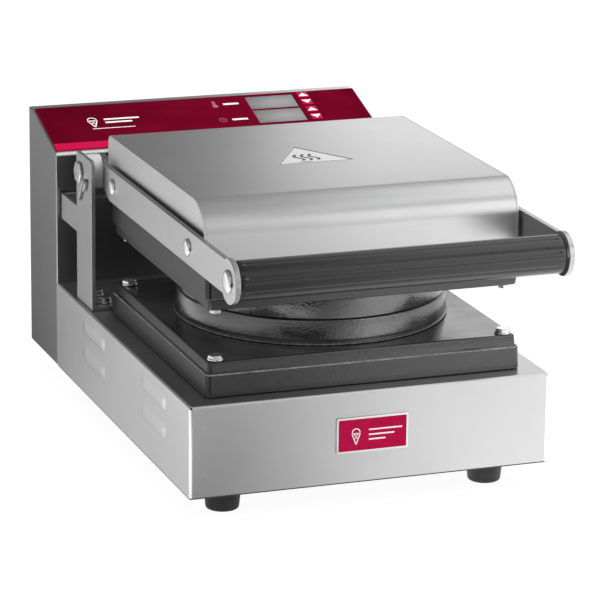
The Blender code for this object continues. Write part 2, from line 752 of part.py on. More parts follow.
def make_grip():
    """A fluted tube between the arms, with a bore at each end for its bolt."""
    flutes = 15
    outline = []
    for i in range(flutes * 2):
        r = GRIP_R - (0.0009 if i % 2 else 0)
        t = math.pi * i / flutes
        outline.append((r * math.cos(t), r * math.sin(t)))
    half = ARM_X[0] - GAP
    end = [(0.93 * a, 0.93 * b) for a, b in outline]
    layers = [(end, -half), (outline, 0.002 - half), (outline, half - 0.002), (end, half)]
    bm = bmesh.new()
    stack(bm, "X", (0, at_y(HANDLE_Y), HINGE_Z), layers)
    grip = add_object("handle_grip", bm, "black_grip", LID)
    holes = bmesh.new()
    for side in SIDES.values():
        centre = (at_y(HANDLE_Y), HINGE_Z)
        prism(holes, circle(centre, 0.0044, 12), "X", *sorted((side * (half - 0.020), side * 0.14)))
    cut(grip, holes, "bores")


# ---------------------------------------------------------------- control tower
SLOPE_RUN = TOWER_BACK - TOWER_STRIP - TOWER_FRONT
SLOPE_RISE = TOWER_TOP - SLOPE_LOW
SLOPE_ANGLE = math.atan2(SLOPE_RISE, SLOPE_RUN)


def on_slope(x, s, n):
    """The point s up the slope from its front edge and n above its face."""
    cos, sin = math.cos(SLOPE_ANGLE), math.sin(SLOPE_ANGLE)
    return (x, at_y(TOWER_FRONT) + s * cos - n * sin, SLOPE_LOW + s * sin + n * cos)


def slope_box(bm, xs, ss, ns):
    corners = [(xs[0], ss[0]), (xs[1], ss[0]), (xs[1], ss[1]), (xs[0], ss[1])]
    loft(bm, [[on_slope(x, s, n) for x, s in corners] for n in ns])


def tower_outline(inset):
    """The housing's outline in (y, z), or with an inset the hollow's, which runs out behind and below."""
    past = 0.01 if inset else 0
    cos, tan = math.cos(SLOPE_ANGLE), math.tan(SLOPE_ANGLE)
    front, back = at_y(TOWER_FRONT) + inset, at_y(TOWER_BACK) + past
    slope_front = SLOPE_LOW + inset * tan - inset / cos
    strip_front = at_y(TOWER_BACK - TOWER_STRIP) + inset * (1 / cos - 1) / tan
    outline = [(front, BASE_BOTTOM - past), (front, slope_front), (strip_front, TOWER_TOP - inset)]
    return outline + [(back, TOWER_TOP - inset), (back, BASE_BOTTOM - past)]


def make_housing():
    half = WIDTH / 2
    bm = bmesh.new()
    prism(bm, tower_outline(0), "X", -half, half)
    housing = add_object("control_housing", bm, "stainless")
    lip = bmesh.new()
    y, root = at_y(TOWER_FRONT), at_y(TOWER_FRONT) + SHEET / 2
    high, low = SLOPE_LOW - 0.0002, SLOPE_LOW - LIP_HEIGHT - 0.0014
    prism(lip, [(root, low), (y - LIP, low), (y - LIP, low + LIP_HEIGHT), (root, high)], "X", -half, half)
    add_boolean(housing, "UNION", lip, "lip")
    hollow = bmesh.new()
    prism(hollow, tower_outline(SHEET), "X", SHEET - half, half - SHEET)
    cut(housing, hollow, "hollow")
    openings = bmesh.new()
    slope_box(openings, CONSOLE_X, CONSOLE_S, (-0.004, 0.004))
    foot = FOOT_HEIGHT + GAP + SHEET + GAP
    box(openings, (SHEET - half, half - SHEET), (y - 0.01, y + 0.004), (0, foot))
    cut(housing, openings, "openings")


def make_controls():
    bm = bmesh.new()
    low = GAP
    slope_box(bm, (-OVERLAY_HALF_X, OVERLAY_HALF_X), OVERLAY_S, (low, low + OVERLAY_THICK))
    overlay = add_object("control_overlay", bm, "crimson_film")
    holes = bmesh.new()
    for span in DISPLAY_S.values():
        slope_box(holes, DISPLAY_X, span, (-0.001, 0.003))
    reach = BUTTON_HALF + GAP
    for s in BUTTON_S.values():
        slope_box(holes, (BUTTON_X - reach, BUTTON_X + reach), (s - reach, s + reach), (-0.001, 0.003))
    cut(overlay, holes, "windows")
    for name, span in DISPLAY_S.items():
        bm = bmesh.new()
        xs = (DISPLAY_X[0] + GAP, DISPLAY_X[1] - GAP)
        slope_box(bm, xs, (span[0] + GAP, span[1] - GAP), (GAP - BOARD_DEPTH, low + OVERLAY_THICK - 0.0002))
        add_object(f"{name}_display", bm, "display_window")
    bm = bmesh.new()
    board_x = (CONSOLE_X[0] - 0.008, CONSOLE_X[1] + 0.008)
    slope_box(bm, board_x, (0.008, CONSOLE_S[1]), (-BOARD_DEPTH - 0.0016, -BOARD_DEPTH))
    add_object("control_board", bm, "circuit_board")
    for name, s in BUTTON_S.items():
        empty = add_joint_empty(f"{name}_slide", on_slope(BUTTON_X, s, low + OVERLAY_THICK))
        bm = bmesh.new()
        xs = (BUTTON_X - BUTTON_HALF, BUTTON_X + BUTTON_HALF)
        ns = (low + OVERLAY_THICK + 0.0003 - BUTTON_DEEP, low + OVERLAY_THICK + 0.0003)
        slope_box(bm, xs, (s - BUTTON_HALF, s + BUTTON_HALF), ns)
        add_object(f"{name}_button", bm, "crimson_film", empty)


def make_rear():
    """The screwed rear panel with its vents, the power inlet and the mains switch."""
    inner = WIDTH / 2 - SHEET - GAP
    outside = at_y(TOWER_BACK)
    bm = bmesh.new()
    zs = (FOOT_HEIGHT + SHEET + 3 * GAP, TOWER_TOP - SHEET - GAP)
    box(bm, (-inner, inner), (outside - SHEET, outside), zs)
    panel = add_object("rear_panel", bm, "stainless")
    holes = bmesh.new()
    ys = (outside - 0.01, outside + 0.01)
    half_x, half_z = REAR_VENT
    for column in range(2):
        for row in range(5):
            x = 0.045 + 0.050 * column
            z = REAR_VENT_Z + 0.011 * row
            slot = rounded_rectangle((x - half_x, x + half_x), (z - half_z, z + half_z), 0.002, 3)
            prism(holes, slot, "Y", *ys)
    for (x, z), body in ((INLET_AT, INLET_BODY), (SWITCH_AT, SWITCH_BODY)):
        half_x, half_z = (size + GAP for size in body)
        box(holes, (x - half_x, x + half_x), ys, (z - half_z, z + half_z))
    cut(panel, holes, "openings")
    make_inlet(outside)
    make_switch(outside)


def rectangle_about(centre, half, radius, count):
    spans = [(middle - reach, middle + reach) for middle, reach in zip(centre, half)]
    return rounded_rectangle(*spans, radius, count)


def make_inlet(outside):
    x, z = INLET_AT
    bm = bmesh.new()
    body = rectangle_about(INLET_AT, INLET_BODY, 0.003, 3)
    flange = rectangle_about(INLET_AT, INLET_FLANGE, 0.003, 3)
    layers = [(body, -0.020), (body, GAP), (flange, GAP), (flange, GAP + 0.0024)]
    stack(bm, "Y", (0, outside, 0), layers)
    inlet = add_object("power_inlet", bm, "black_plastic")
    socket = bmesh.new()
    mouth = [(x - 0.012, z - 0.0080), (x + 0.012, z - 0.0080), (x + 0.012, z + 0.0035)]
    mouth += [(x + 0.0075, z + 0.0080), (x - 0.0075, z + 0.0080), (x - 0.012, z + 0.0035)]
    prism(socket, mouth, "Y", outside - 0.015, outside + 0.01)
    cut(inlet, socket, "socket")


def make_switch(outside):
    """A rocker in its frame: it rests with its upper half pressed in and its lower half proud."""
    x, z = SWITCH_AT
    bm = bmesh.new()
    body = rectangle_about(SWITCH_AT, SWITCH_BODY, 0.001, 2)
    flange = rectangle_about(SWITCH_AT, SWITCH_FLANGE, 0.0015, 2)
    layers = [(body, -0.022), (body, GAP), (flange, GAP), (flange, GAP + 0.0015)]
    stack(bm, "Y", (0, outside, 0), layers)
    frame = add_object("switch_frame", bm, "black_plastic")
    well = bmesh.new()
    box(well, (x - 0.0082, x + 0.0082), (outside - 0.018, outside + 0.01), (z - 0.0125, z + 0.0125))
    cut(frame, well, "well")
    pivot = (x, outside - 0.0065, z)
    empty = add_joint_empty("rocker_pivot", pivot)
    half_z, tilt = 0.0105, math.radians(10)
    face = [(0.0080, -half_z), (0.0068, 0), (0.0080, half_z), (-0.002, half_z * 0.8), (-0.0075, 0)]
    face.append((-0.002, -half_z * 0.8))
    cos, sin = math.cos(tilt), math.sin(tilt)
    outline = [(pivot[1] + a * cos - b * sin, z + a * sin + b * cos) for a, b in face]
    bm = bmesh.new()
    prism(bm, outline, "X", x - 0.0078, x + 0.0078)
    add_object("switch_rocker", bm, "black_plastic", empty)


for startup_object in list(bpy.data.objects):
    bpy.data.objects.remove(startup_object)
MATERIALS = make_materials()
LID = add_joint_empty("lid_hinge", (0, at_y(HINGE_Y), HINGE_Z))


def main():
    make_base_shell()
    make_bottom_plate()
    make_feet()
    make_badge()
    make_cooking_parts()
    make_hinge()
    make_lid_cover()
    make_handle()
    make_housing()
    make_controls()
    make_rear()


main()
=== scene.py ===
import math

import bmesh
import bpy
from mathutils import Matrix, Vector


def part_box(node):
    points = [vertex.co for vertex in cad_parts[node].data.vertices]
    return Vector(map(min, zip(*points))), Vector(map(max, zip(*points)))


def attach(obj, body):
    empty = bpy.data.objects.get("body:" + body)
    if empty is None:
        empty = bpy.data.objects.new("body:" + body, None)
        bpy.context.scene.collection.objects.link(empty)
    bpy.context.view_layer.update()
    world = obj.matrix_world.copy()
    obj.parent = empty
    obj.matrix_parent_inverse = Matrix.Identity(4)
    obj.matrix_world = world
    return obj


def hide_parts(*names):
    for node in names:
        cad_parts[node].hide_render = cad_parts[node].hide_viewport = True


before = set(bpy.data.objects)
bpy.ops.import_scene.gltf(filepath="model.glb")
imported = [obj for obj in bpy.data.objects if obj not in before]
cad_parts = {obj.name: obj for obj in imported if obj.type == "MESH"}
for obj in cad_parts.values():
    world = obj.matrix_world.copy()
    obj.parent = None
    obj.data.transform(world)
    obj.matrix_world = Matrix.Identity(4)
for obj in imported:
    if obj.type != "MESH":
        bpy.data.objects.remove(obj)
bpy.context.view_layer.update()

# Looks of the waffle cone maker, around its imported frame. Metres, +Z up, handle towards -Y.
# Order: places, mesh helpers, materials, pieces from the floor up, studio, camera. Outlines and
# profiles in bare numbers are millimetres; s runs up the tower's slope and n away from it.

MM = 0.001
SIDES = {"left": -1, "right": 1}
CORNERS = ("front_left", "front_right", "rear_left", "rear_right")


# -------- places, from the frame
def middle(node):
    low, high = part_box(node)
    return (low + high) / 2


BASE_LOW, BASE_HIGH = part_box("bottom_plate")
SHEET = BASE_HIGH.z - BASE_LOW.z
HOUSING_LOW, HOUSING_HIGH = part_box("control_housing")
BODY_HALF = HOUSING_HIGH.x
SHELL_LOW, SHELL_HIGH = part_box("base_shell")
FRONT = SHELL_LOW.y
BASE_BOTTOM, BASE_TOP = SHELL_LOW.z, SHELL_HIGH.z
GRIP_LOW, GRIP_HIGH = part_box("handle_grip")
HINGE, GRIP = middle("hinge_shaft"), middle("handle_grip")
GAP = 0.3 * MM
BEND = 2.0 * MM


def at_y(distance):
    """Y of a place that many millimetres behind the base's front face."""
    return FRONT + distance * MM


# -------- mesh helpers
def add_mesh(name, bm, materials=()):
    """A mesh object made of bm, which is freed."""
    mesh = bpy.data.meshes.new(name)
    bm.to_mesh(mesh)
    bm.free()
    for material in materials:
        mesh.materials.append(material)
    made = bpy.data.objects.new(name, mesh)
    bpy.context.scene.collection.objects.link(made)
    return made


def add_piece(name, bm, materials, body, slot, replaces=(), angle=35):
    """One finished mesh object that rides on a body."""
    piece = add_mesh(name, bm, materials if isinstance(materials, list) else [materials])
    piece.data.shade_smooth()
    piece.data.set_sharp_from_angle(angle=math.radians(angle))
    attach(piece, body)
    if replaces:
        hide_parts(*replaces)
    return piece


def add_prisms(name, outlines, axis, span, *kind):
    """One piece of a closed prism on each outline, between two places on an axis."""
    bm = bmesh.new()
    for outline in outlines:
        prism(bm, outline, axis, *span)
    return add_piece(name, closed(bm), *kind)


def add_turned(name, axis, origin, profile, count, *kind):
    """One piece turned from (radius, height) steps."""
    bm = bmesh.new()
    turned(bm, axis, origin, profile, count)
    return add_piece(name, closed(bm), *kind)


def closed(bm):
    bmesh.ops.recalc_face_normals(bm, faces=bm.faces)
    return bm


def bevel(piece, width, segments=2, angle=35):
    modifier = piece.modifiers.new("bevel", "BEVEL")
    modifier.width = width
    modifier.segments = segments
    modifier.limit_method = "ANGLE"
    modifier.angle_limit = math.radians(angle)
    modifier.harden_normals = True
    return piece


def carve(piece, bm, operation="DIFFERENCE"):
    """Cuts or joins a shape for good, and leaves no modifier or tool behind."""
    tool = add_mesh("tool", closed(bm))
    modifier = piece.modifiers.new("carve", "BOOLEAN")
    modifier.operation = operation
    modifier.object = tool
    modifier.solver = "EXACT"
    settle(piece)
    bpy.data.objects.remove(tool)


def settle(piece):
    """Applies every modifier of the piece."""
    bpy.context.view_layer.update()
    graph = bpy.context.evaluated_depsgraph_get()
    mesh = bpy.data.meshes.new_from_object(piece.evaluated_get(graph))
    piece.modifiers.clear()
    piece.data = mesh
    mesh.shade_smooth()
    mesh.set_sharp_from_angle(angle=math.radians(35))


def loft(bm, rings, cap_material=0):
    """A closed skin over rings of points."""
    rows = [[bm.verts.new(point) for point in ring] for ring in rings]
    count = len(rows[0])
    for low, high in zip(rows, rows[1:]):
        for i in range(count):
            j = (i + 1) % count
            bm.faces.new((low[i], low[j], high[j], high[i]))
    bm.faces.new(rows[0]).material_index = cap_material
    bm.faces.new(rows[-1]).material_index = cap_material


def placed(axis, a, b, c):
    return {"X": (c, a, b), "Y": (a, c, b), "Z": (a, b, c)}[axis]


def prism(bm, outline, axis, low, high):
    loft(bm, [[placed(axis, a, b, c) for a, b in outline] for c in (low, high)])


def rectangle(xs, ys):
    return [(xs[0], ys[0]), (xs[1], ys[0]), (xs[1], ys[1]), (xs[0], ys[1])]


def box(bm, xs, ys, zs):
    prism(bm, rectangle(xs, ys), "Z", *zs)


def arc(centre, radius, start, end, count):
    angles = (math.radians(start + (end - start) * i / (count - 1)) for i in range(count))
    return [(centre[0] + radius * math.cos(t), centre[1] + radius * math.sin(t)) for t in angles]


def circle(centre, radius, count):
    return arc(centre, radius, 0, 360 * (count - 1) / count, count)


def inset(low, high, edge):
    """The X, Y and Z ranges of a box, drawn in by an edge."""
    return [(low[i] + edge, high[i] - edge) for i in range(3)]


def rounded_rectangle(xs, ys, radius, count=8):
    low_x, high_x, low_y, high_y = xs[0] + radius, xs[1] - radius, ys[0] + radius, ys[1] - radius
    centres = [(high_x, high_y), (low_x, high_y), (low_x, low_y), (high_x, low_y)]
    outline = []
    for quarter, centre in enumerate(centres):
        outline += arc(centre, radius, 90 * quarter, 90 * quarter + 90, count)
    return outline


def turned(bm, axis, origin, profile, count=48):
    """A closed body turned from (radius, height) steps."""
    a0, b0 = (origin[i] for i in range(3) if "XYZ"[i] != axis)
    c0 = origin["XYZ".index(axis)]
    rings = []
    for radius, height in profile:
        outline = circle((a0, b0), radius, count)
        rings.append([placed(axis, a, b, c0 + height) for a, b in outline])
    loft(bm, rings)


def tube(bm, path, radius, sides=12):
    rings = []
    side = None
    for i, point in enumerate(path):
        along = (Vector(path[min(i + 1, len(path) - 1)]) - Vector(path[max(i - 1, 0)])).normalized()
        side = along.orthogonal() if side is None else side
        side = (side - along * side.dot(along)).normalized()
        other = along.cross(side)
        spokes = circle((0, 0), radius, sides)
        rings.append([Vector(point) + side * a + other * b for a, b in spokes])
    loft(bm, rings)


def stroke(path, width):
    """The outline of a flat stroke along a 2D path."""
    left, right = [], []
    for i, point in enumerate(path):
        before, after = Vector(path[max(i - 1, 0)]), Vector(path[min(i + 1, len(path) - 1)])
        along = (after - before).normalized()
        across = Vector((-along.y, along.x)) * width / 2
        left.append(tuple(Vector(point) + across))
        right.append(tuple(Vector(point) - across))
    return left + right[::-1]


def spread(low, high, count):
    return [low + (high - low) * i / count for i in range(count + 1)]


# -------- materials
class Nodes:
    """A node tree under construction."""

    def __init__(self, tree):
        self.nodes, self.links = tree.nodes, tree.links

    def feed(self, node, inputs):
        """Links each input that is given a socket, and sets the others."""
        for key, value in inputs.items():
            if isinstance(value, bpy.types.NodeSocket):
                self.links.new(value, node.inputs[key])
            else:
                node.inputs[key].default_value = value

    def add(self, kind, inputs, **settings):
        node = self.nodes.new("ShaderNode" + kind)
        for key, value in settings.items():
            setattr(node, key, value)
        self.feed(node, inputs)
        return node

    def math(self, operation, one, other):
        return self.add("Math", {0: one, 1: other}, operation=operation).outputs[0]

    def span(self, source, from_low, from_high, low=0.0, high=1.0):
        ends = {"From Min": from_low, "From Max": from_high, "To Min": low, "To Max": high}
        return self.add("MapRange", {"Value": source, **ends}).outputs["Result"]

    def noise(self, scale, detail=3.0, rough=0.55, stretch=(1, 1, 1)):
        """Noise of so many cells per metre; its grain runs along the smallest stretch."""
        place = self.add("TexCoord", {}).outputs["Object"]
        place = self.add("Mapping", {"Vector": place, "Scale": stretch}).outputs["Vector"]
        inputs = {"Vector": place, "Scale": scale, "Detail": detail, "Roughness": rough}
        return self.add("TexNoise", inputs).outputs["Fac"]

    def ramp(self, source, stops):
        """A straight-line lookup of a value, through a colour ramp scaled to its highest stop."""
        low, high, peak = stops[0][0], stops[-1][0], max(value for _, value in stops)
        lookup = self.add("ValToRGB", {"Fac": self.span(source, low, high)})
        elements = lookup.color_ramp.elements
        for position, value in stops[1:-1]:
            elements.new((position - low) / (high - low)).color = (value / peak,) * 3 + (1,)
        elements[0].color = (stops[0][1] / peak,) * 3 + (1,)
        elements[-1].color = (stops[-1][1] / peak,) * 3 + (1,)
        return self.math("MULTIPLY", lookup.outputs["Color"], peak)


SOCKETS = {
    "metal": "Metallic",
    "specular": "Specular IOR Level",
    "ior": "IOR",
    "coat": "Coat Weight",
    "coat_rough": "Coat Roughness",
    "skin": "Subsurface Weight",
}


def colour(value):
    return tuple(value) if isinstance(value, (list, tuple)) else (value,) * 3


def look(name, tint, dark, light, rough, bumps=(), **extra):
    """A Principled material whose colour, and mostly roughness and relief, follow noises.

    tint is the noise between the dark and the light colour; rough is a number, or a noise and
    its lowest and highest roughness; bumps are (noise, depth in millimetres).
    """
    material = bpy.data.materials.new(name)
    material.use_nodes = True
    tree = Nodes(material.node_tree)
    inputs = {"Factor": tree.span(tree.noise(*tint), 0.3, 0.7)}
    inputs.update({"A": (*colour(dark), 1), "B": (*colour(light), 1)})
    mix = tree.add("Mix", inputs, data_type="RGBA")
    inputs = {"Base Color": mix.outputs["Result"], "Roughness": rough}
    inputs.update({SOCKETS[key]: value for key, value in extra.items()})
    if isinstance(rough, tuple):
        inputs["Roughness"] = tree.span(tree.noise(*rough[0]), 0.3, 0.7, *rough[1:])
    for noise, depth in bumps:
        relief = {"Height": tree.noise(*noise), "Distance": depth * MM, "Strength": 1.0}
        if "Normal" in inputs:
            relief["Normal"] = inputs["Normal"]
        inputs["Normal"] = tree.add("Bump", relief).outputs["Normal"]
    tree.feed(tree.nodes["Principled BSDF"], inputs)
    return material


def grey(value):
    return (value, value, value * 1.01)


def brushed_steel(name, value, grain, rough=(0.29, 0.36)):
    """Satin sheet: long fine scratches along the grain axis, and faint handling marks."""
    stretch = tuple(0.012 if axis == grain else 1.0 for axis in "XYZ")
    scratches = (2600, 2, 0.55, stretch)
    dark, light = grey(value * 0.965), grey(value * 1.03)
    return look(name, (14, 4), dark, light, (scratches, *rough), [(scratches, 0.002)], metal=1.0)


def sand_cast(name, ior, relief):
    """Black non-stick coating over a sandy casting."""
    lumps, sand = (260, 2), (560, 1.5)
    bumps = [(lumps, relief * 0.4), (sand, relief)]
    rough = (lumps, 0.15, 0.27)
    return look(name, (620, 4, 0.75), 0.001, 0.014, rough, bumps, specular=1.0, ior=ior)


# key: (name, tint noise, dark, light, relief noise, roughness, depth in mm, other sockets);
# a roughness of (low, high) follows the relief noise, and one of three values its own noise
LOOKS = {
    "cast_side": ("cast_side", (900, 3, 0.6), 0.008, 0.018, (900, 3, 0.6), (0.32, 0.44), 0.06,
        {"specular": 0.42}),
    # cast_edge_highlight is a painted highlight: lighter grey on the castings' step edge and the
    # grid plates' foot lip.
    "cast_edge_highlight": ("cast_edge_highlight", (350, 4), 0.06, 0.26, (350, 4), (0.28, 0.42), 0.05,
        {"specular": 1.0}),
    "cast_smooth": ("cast_smooth", (60, 5), 0.022, 0.034, (420, 2), ((60, 5), 0.15, 0.24),
        0.012, {"specular": 1.0, "ior": 1.8}),
    "crimson": ("crimson_film", (40,), (0.120, 0.0015, 0.012), (0.140, 0.0025, 0.015),
        (900, 2), (0.20, 0.30), 0.002, {"specular": 0.0}),
    "stripe": ("pink_stripe", (40,), (0.44, 0.003, 0.047), (0.49, 0.004, 0.053), (900,), 0.30,
        0.002, {"specular": 0.03}),
    "key": ("key_film", (120,), (0.38, 0.003, 0.045), (0.46, 0.004, 0.055), (1200,), 0.35,
        0.003, {"specular": 0.05}),
    "print": ("white_print", (500,), (0.80, 0.77, 0.77), (0.90, 0.87, 0.87), (1500,), 0.40,
        0.003, {}),
    "soft_print": ("soft_print", (500,), (0.26, 0.07, 0.11), (0.34, 0.11, 0.15), None, 0.40, 0, {}),
    "display": ("display_window", (300, 3, 0.55, (1, 4, 1)), (0.235, 0.235, 0.24),
        (0.285, 0.28, 0.28), (700,), 0.45, 0.002, {"specular": 0.1}),
    "grip": ("black_grip", (90,), 0.0015, 0.003, (1300,), (0.20, 0.28), 0.01, {"specular": 0.8}),
    "bright": ("bright_steel", (200,), grey(0.72), grey(0.84), (900, 4), (0.14, 0.30), 0.010,
        {"metal": 1.0}),
    "rubber": ("rubber", (150,), 0.011, (0.022, 0.022, 0.021), (1800,), (0.42, 0.62), 0.03,
        {"specular": 0.4}),
    "spring": ("spring_wire", (1200, 2), grey(0.34), grey(0.50), (1200, 2), (0.22, 0.38),
        0.006, {"metal": 1.0}),
    "nylon": ("nylon", (120,), (0.74, 0.73, 0.71), (0.82, 0.81, 0.79), (1000, 2),
        (0.36, 0.50), 0.01, {"specular": 0.45, "skin": 0.1}),
    "heater": ("heater_sheath", (80, 4), (0.10, 0.085, 0.08), (0.22, 0.20, 0.19), (1500,),
        ((80, 4), 0.40, 0.60), 0.02, {"metal": 0.9}),
    "wool": ("mineral_wool", (900, 6, 0.75, (1, 1, 6)), (0.50, 0.48, 0.42),
        (0.70, 0.68, 0.62), (900, 6, 0.75, (1, 1, 6)), 0.95, 0.8, {"specular": 0.1}),
    "board": ("circuit_board", (260, 1, 0.55, (1, 5, 5)), (0.012, 0.085, 0.035),
        (0.03, 0.16, 0.07), (260, 1, 0.55, (1, 5, 5)), 0.35, 0.03,
        {"coat": 0.3, "coat_rough": 0.1}),
    "plastic": ("black_plastic", (100,), (0.014, 0.014, 0.015), (0.024, 0.024, 0.025),
        (2200, 2), (0.28, 0.44), 0.02, {"specular": 0.45}),
    # alloy is a pale, half-diffuse metal: the sign's own pale fill, and a painted highlight on the
    # hinge sleeves and the tower lip.
    "pale_fill_and_highlight": ("pale_alloy_and_highlight", (700,), grey(0.56), grey(0.64), (700,), (0.38, 0.5), 0.01,
        {"metal": 0.25}),
    # etched is dark print for the sign, and also the painted shadow line under the base.
    "dark_print_and_shadow": ("dark_print_and_shadow_line", (600,), grey(0.035), grey(0.075), (1800,), 0.5, 0.01, {"metal": 0.2}),
}


def make_materials():
    made = {
        "steel_x": brushed_steel("steel_grain_x", 0.60, "X"),
        "steel_y": brushed_steel("steel_grain_y", 0.60, "Y"),
        # steel_x and steel_y are the sheet's plain tone. The copies below are painted shade
        # (darker: tower, hinge links, brackets, arms) and painted light (lighter: lid cheeks, base
        # front folds, also the badge).
        "steel_shaded_z": brushed_steel("steel_shaded_grain_z", 0.27, "Z"),
        "steel_shaded_flank": brushed_steel("steel_shaded_y", 0.48, "Y"),
        "steel_shaded_bar": brushed_steel("steel_shaded_bar_y", 0.54, "Y"),
        "steel_lit_cheek": brushed_steel("steel_lit_cheek_y", 0.66, "Y"),
        "steel_badge_and_fold_highlight": brushed_steel("steel_badge_and_fold_highlight_z", 0.80, "Z", (0.16, 0.26)),
        "cast_sand": sand_cast("cast_sand", 1.5, 0.12),
        "cast_ring": sand_cast("cast_ring", 1.75, 0.20),
    }
    for key, (name, tint, dark, light, grain, rough, depth, extra) in LOOKS.items():
        if isinstance(rough, tuple) and len(rough) == 2:
            rough = (grain, *rough)
        bumps = [(grain, depth)] if grain else []
        made[key] = look(name, tint, dark, light, rough, bumps, **extra)
    return made


# -------- base
LOUVRE_YS = (86.0, 241.5)
LOUVRE_TOPS = (82.0, 59.7)
LOUVRE_HALF = 30.5
LOUVRE_HEIGHT = 13.2
LOUVRE_RISE = 1.3
LOUVRE_RAMP = 9.0
WELD_X = 130.0
WELD_ZS = (75.0, 40.0)


def louvre_lift(y, z, y_mid, z_mid):
    """How far the pressed hood stands out at a corner of a cell of the side, in millimetres."""
    for centre in LOUVRE_YS:
        for top in LOUVRE_TOPS:
            low = top - LOUVRE_HEIGHT
            if abs(y_mid - centre) < LOUVRE_HALF and low < z_mid < top:
                t = (z - low) / LOUVRE_HEIGHT
                end = min((LOUVRE_HALF - abs(y - centre)) / LOUVRE_RAMP, 1.0)
                foot = 0.5 - 0.5 * math.cos(math.pi * min(t / 0.2, 1.0))
                brow = 0.5 + 0.5 * math.cos(math.pi * max((t - 0.45) / 0.55, 0.0))
                return LOUVRE_RISE * (1 - (1 - end) ** 2) * foot * brow
    return 0.0


def weld_dimple(x, z):
    """Depth of the shallow spot-weld marks near the ends of the front."""
    depth = 0.0
    for height in WELD_ZS:
        distance = math.hypot(abs(x) - WELD_X, z - height)
        depth += 0.15 * math.exp(-((distance / 1.7) ** 2))
    return depth


def sheet_grid(bm, us, vs, place, material=0):
    """A sheet of quads; place(u, v, u_mid, v_mid) gives a corner as seen from its own cell."""
    for u0, u1 in zip(us, us[1:]):
        for v0, v1 in zip(vs, vs[1:]):
            middle = ((u0 + u1) / 2, (v0 + v1) / 2)
            corners = [(u0, v0), (u1, v0), (u1, v1), (u0, v1)]
            face = bm.faces.new([bm.verts.new(place(u, v, *middle)) for u, v in corners])
            face.material_index = material


def side_lines():
    """Heights of the side's grid lines: close together over the louvres."""
    lines = [BASE_BOTTOM / MM, 30.0]
    for top in LOUVRE_TOPS[::-1]:
        lines += spread(top - LOUVRE_HEIGHT, top, 12)
    return lines + [(BASE_TOP - BEND) / MM]


def base_shell_mesh():
    """Top, sides and front as one folded sheet, with welded corner flanges and relief notches."""
    half, r, top_z = BODY_HALF / MM, BEND / MM, BASE_TOP / MM
    inner = half - r
    ys = [r, 20.0]
    for centre in LOUVRE_YS:
        reach, flat_half = LOUVRE_HALF, LOUVRE_HALF - LOUVRE_RAMP
        ys += spread(centre - reach, centre - flat_half, 6)
        ys += spread(centre - flat_half, centre + flat_half, 10)[1:]
        ys += spread(centre + flat_half, centre + reach, 6)[1:]
    ys.append((SHELL_HIGH.y - FRONT) / MM)
    xs = [inner - 0.06] + spread(WELD_X + 4, WELD_X - 4, 10) + [100.0, 50.0]
    xs = [-x for x in xs] + [0.0] + xs[::-1]
    bends = spread(0, 90, 6)
    joggle = [(inner, 0.0), (inner - 0.1, 0.7), (inner - 0.5, 1.45), (120.0, 1.45)]
    bm = bmesh.new()

    def point(x, y, z):
        return (x * MM, at_y(y), z * MM)

    def bent(angle):
        """How far a fold has come in from its two outer faces."""
        t = math.radians(angle)
        return r - r * math.cos(t), r - r * math.sin(t)

    for side in SIDES.values():

        def flank(y, z, *cell, side=side):
            return point(side * (half + louvre_lift(y, z, *cell)), y, z)

        def top_fold(a, y, *cell, side=side):
            one, other = bent(a)
            return point(side * (half - one), y, top_z - other)

        def front_fold(a, z, *cell, side=side):
            one, other = bent(a)
            return point(side * (half - one), other, z)

        def flange(i, z, *cell, side=side):
            x, y = joggle[int(i)]
            return point(side * x, y, z)

        sheet_grid(bm, ys, side_lines(), flank)
        sheet_grid(bm, bends, ys, top_fold)
        sheet_grid(bm, bends, side_lines(), front_fold, 2)
        sheet_grid(bm, range(len(joggle)), side_lines(), flange, 1)

    def front_top(x, a, *cell):
        one, other = bent(a)
        return point(x, other, top_z - one)

    sheet_grid(bm, [-inner] + xs + [inner], ys, lambda x, y, *cell: point(x, y, top_z))
    sheet_grid(bm, xs, bends, front_top, 1)
    zs = [top_z - r, 84.0, 81.0] + spread(WELD_ZS[0] + 4, WELD_ZS[0] - 4, 10) + [63.0, 52.0]
    zs += spread(WELD_ZS[1] + 4, WELD_ZS[1] - 4, 10) + [29.0, BASE_BOTTOM / MM]
    sheet_grid(bm, xs, zs, lambda x, z, *cell: point(x, weld_dimple(x, z), z), 1)
    bmesh.ops.remove_doubles(bm, verts=bm.verts, dist=1e-6)
    return closed(bm)


def face_outwards(bm, sample):
    """Flips an open sheet if the face nearest the sample direction points inwards."""
    face = max(bm.faces, key=lambda f: f.calc_center_median().dot(sample))
    if face.normal.dot(sample) < 0:
        bmesh.ops.reverse_faces(bm, faces=bm.faces)


def thicken(piece, thickness):
    modifier = piece.modifiers.new("thickness", "SOLIDIFY")
    modifier.thickness = thickness
    modifier.offset = -1
    settle(piece)
    flat = piece.modifiers.new("flat_faces", "WEIGHTED_NORMAL")
    flat.keep_sharp = True
    flat.weight = 100
    return piece


